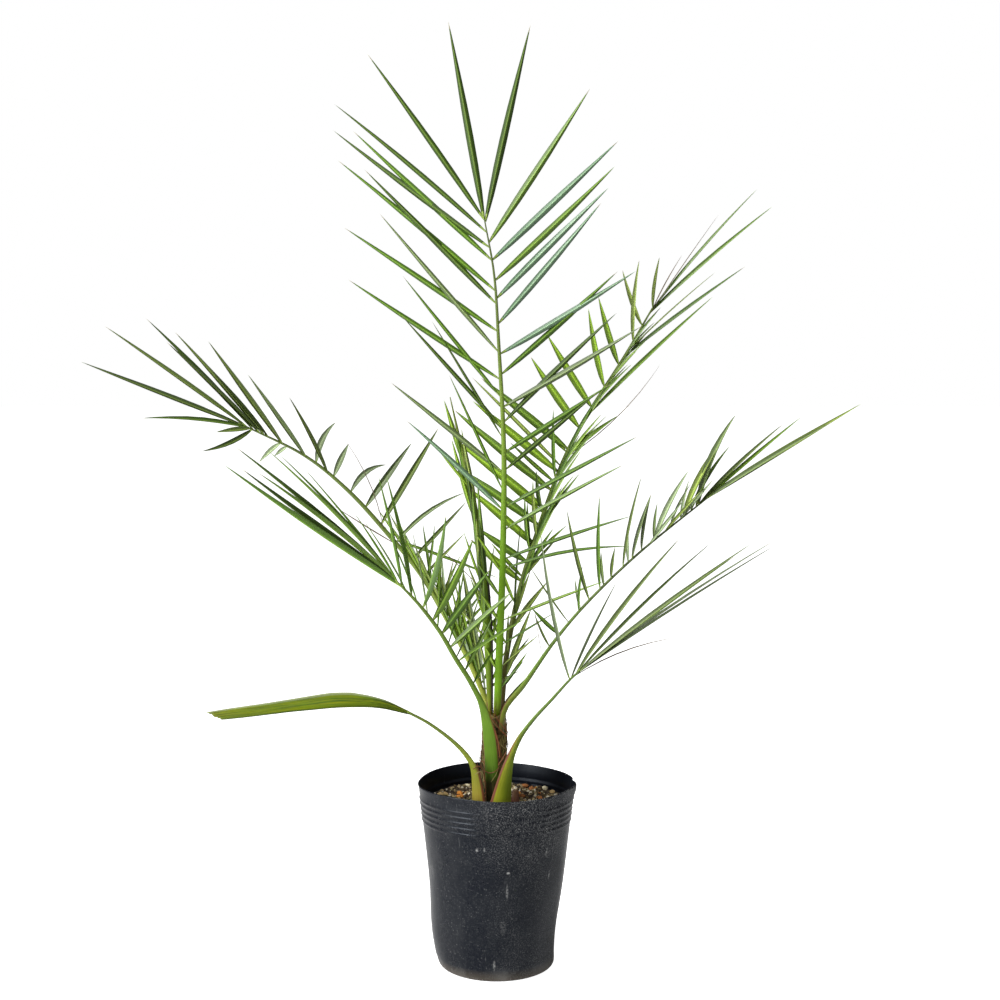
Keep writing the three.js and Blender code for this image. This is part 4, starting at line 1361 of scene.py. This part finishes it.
def strapMaterial():
    material, tree, shader = newMaterial("strapSkin", 0.45, 0.25)
    bands = rampAlong(tree, strapBlade["tints"])
    veins = placeGroup(tree, veinGroup, Colour=bands, Vein=strapBlade["vein"], Fineness=6.0, Amount=0.6)
    across = pointValue(tree, "across")
    shadow = mapRange(tree, noiseOf(tree, bladePlace(tree, 2.6, 3), 1, 4, 0.6), 0.46, 0.62, 0, 0.6)
    gleam = mapRange(tree, noiseOf(tree, bladePlace(tree, 5, 1.6), 1, 3, 0.6), 0.5, 0.66, 0, 0.6)
    shaded = mixColours(tree, shadow, veins.outputs["Colour"], strapBlade["darkEdge"])
    # dark fine wrinkles near the neck: painted shade in the creases
    creases = mapRange(tree, noiseOf(tree, bladePlace(tree, 2.4, 24), 1, 3), 0.5, 0.58)
    neck = mapRange(tree, pointValue(tree, "along"), 0.04, 0.3, 0.8, 0)
    wrinkleShaded = mixColours(tree, product(tree, creases, neck), shaded, strapBlade["crease"])
    streaked = mixColours(tree, gleam, wrinkleShaded, strapBlade["gleam"])
    lower = mixColours(tree, mapRange(tree, across, -0.6, -0.95, 0, 0.7), streaked, strapBlade["darkEdge"])
    upper = mixColours(tree, mapRange(tree, across, 0.7, 0.94, 0, 0.7), lower, strapBlade["paleEdge"])
    tree.links.new(upper, shader.inputs["Base Color"])
    addBump(tree, shader, veins.outputs["Height"], 0.0005, 0.5)
    return material


strapMesh = makeStrapBlade()
strapPiece = addPiece("strapLeafBlade", strapMesh, [strapMaterial()], ["strap_leaf_blade"])
walls = strapPiece.modifiers.new("thickness", "SOLIDIFY")
walls.thickness = strapBlade["thickness"] * mm
walls.offset = 0
print("strap leaf made")


# studio

studio = {
    "floorSize": 30,
    "floorTone": (0.8, 0.8, 0.8, 1),
    "floorGlow": 1.0,
    "backdrop": 1.0,  # what the camera sees behind the palm
    "skylight": 0.26,  # what lights the palm from all round
    "reflected": 0.1,  # what shows in its gloss
    # name, place, size and power of each soft light; all look at the palm's middle
    "lights": [("keyLight", (-2.34, -1.46, 1.35), 1.5, 110), ("fillLight", (2.0, -1.6, 1.0), 2.0, 10),
               ("topLight", (-0.7, -0.8, 2.6), 1.0, 40), ("ridgeLight", (-1.65, -1.7, 0.75), 0.4, 7)],
    "aim": (0, 0, 0.45),
}


def seenByCamera(tree, otherwise, seen):
    # a strength for the camera's own rays, and another for all others
    path = addNode(tree, "ShaderNodeLightPath")
    shown = product(tree, path.outputs["Is Camera Ray"], seen)
    hidden = product(tree, maths(tree, "SUBTRACT", 1, path.outputs["Is Camera Ray"]), otherwise)
    return maths(tree, "ADD", shown, hidden)


def makeStudio():
    bm = bmesh.new()
    bmesh.ops.create_grid(bm, x_segments=2, y_segments=2, size=studio["floorSize"] / 2)
    floor = addObject("studioFloor", meshFrom("studioFloor", bm))
    material, tree, shader = newMaterial("studioFloor", 0.9, 0.1)
    shader.inputs["Base Color"].default_value = studio["floorTone"]
    shader.inputs["Emission Color"].default_value = (1, 1, 1, 1)
    tree.links.new(seenByCamera(tree, 0, studio["floorGlow"]), shader.inputs["Emission Strength"])
    floor.data.materials.append(material)
    world = bpy.data.worlds.new("studioWorld")
    world.use_nodes = True
    back = world.node_tree.nodes["Background"]
    back.inputs[0].default_value = (1, 1, 1, 1)
    gloss = addNode(world.node_tree, "ShaderNodeLightPath").outputs["Is Glossy Ray"]
    unseen = mapRange(world.node_tree, gloss, 0, 1, studio["skylight"], studio["reflected"])
    world.node_tree.links.new(seenByCamera(world.node_tree, unseen, studio["backdrop"]), back.inputs[1])
    bpy.context.scene.world = world
    for name, place, size, power in studio["lights"]:
        lamp = bpy.data.lights.new(name, "AREA")
        lamp.size, lamp.energy = size, power
        light = addObject(name, lamp)
        light.location = place
        light.rotation_euler = (Vector(studio["aim"]) - Vector(place)).to_track_quat("-Z", "Y").to_euler()
    bpy.context.scene.view_settings.view_transform = "Standard"


makeStudio()
print("studio lit")
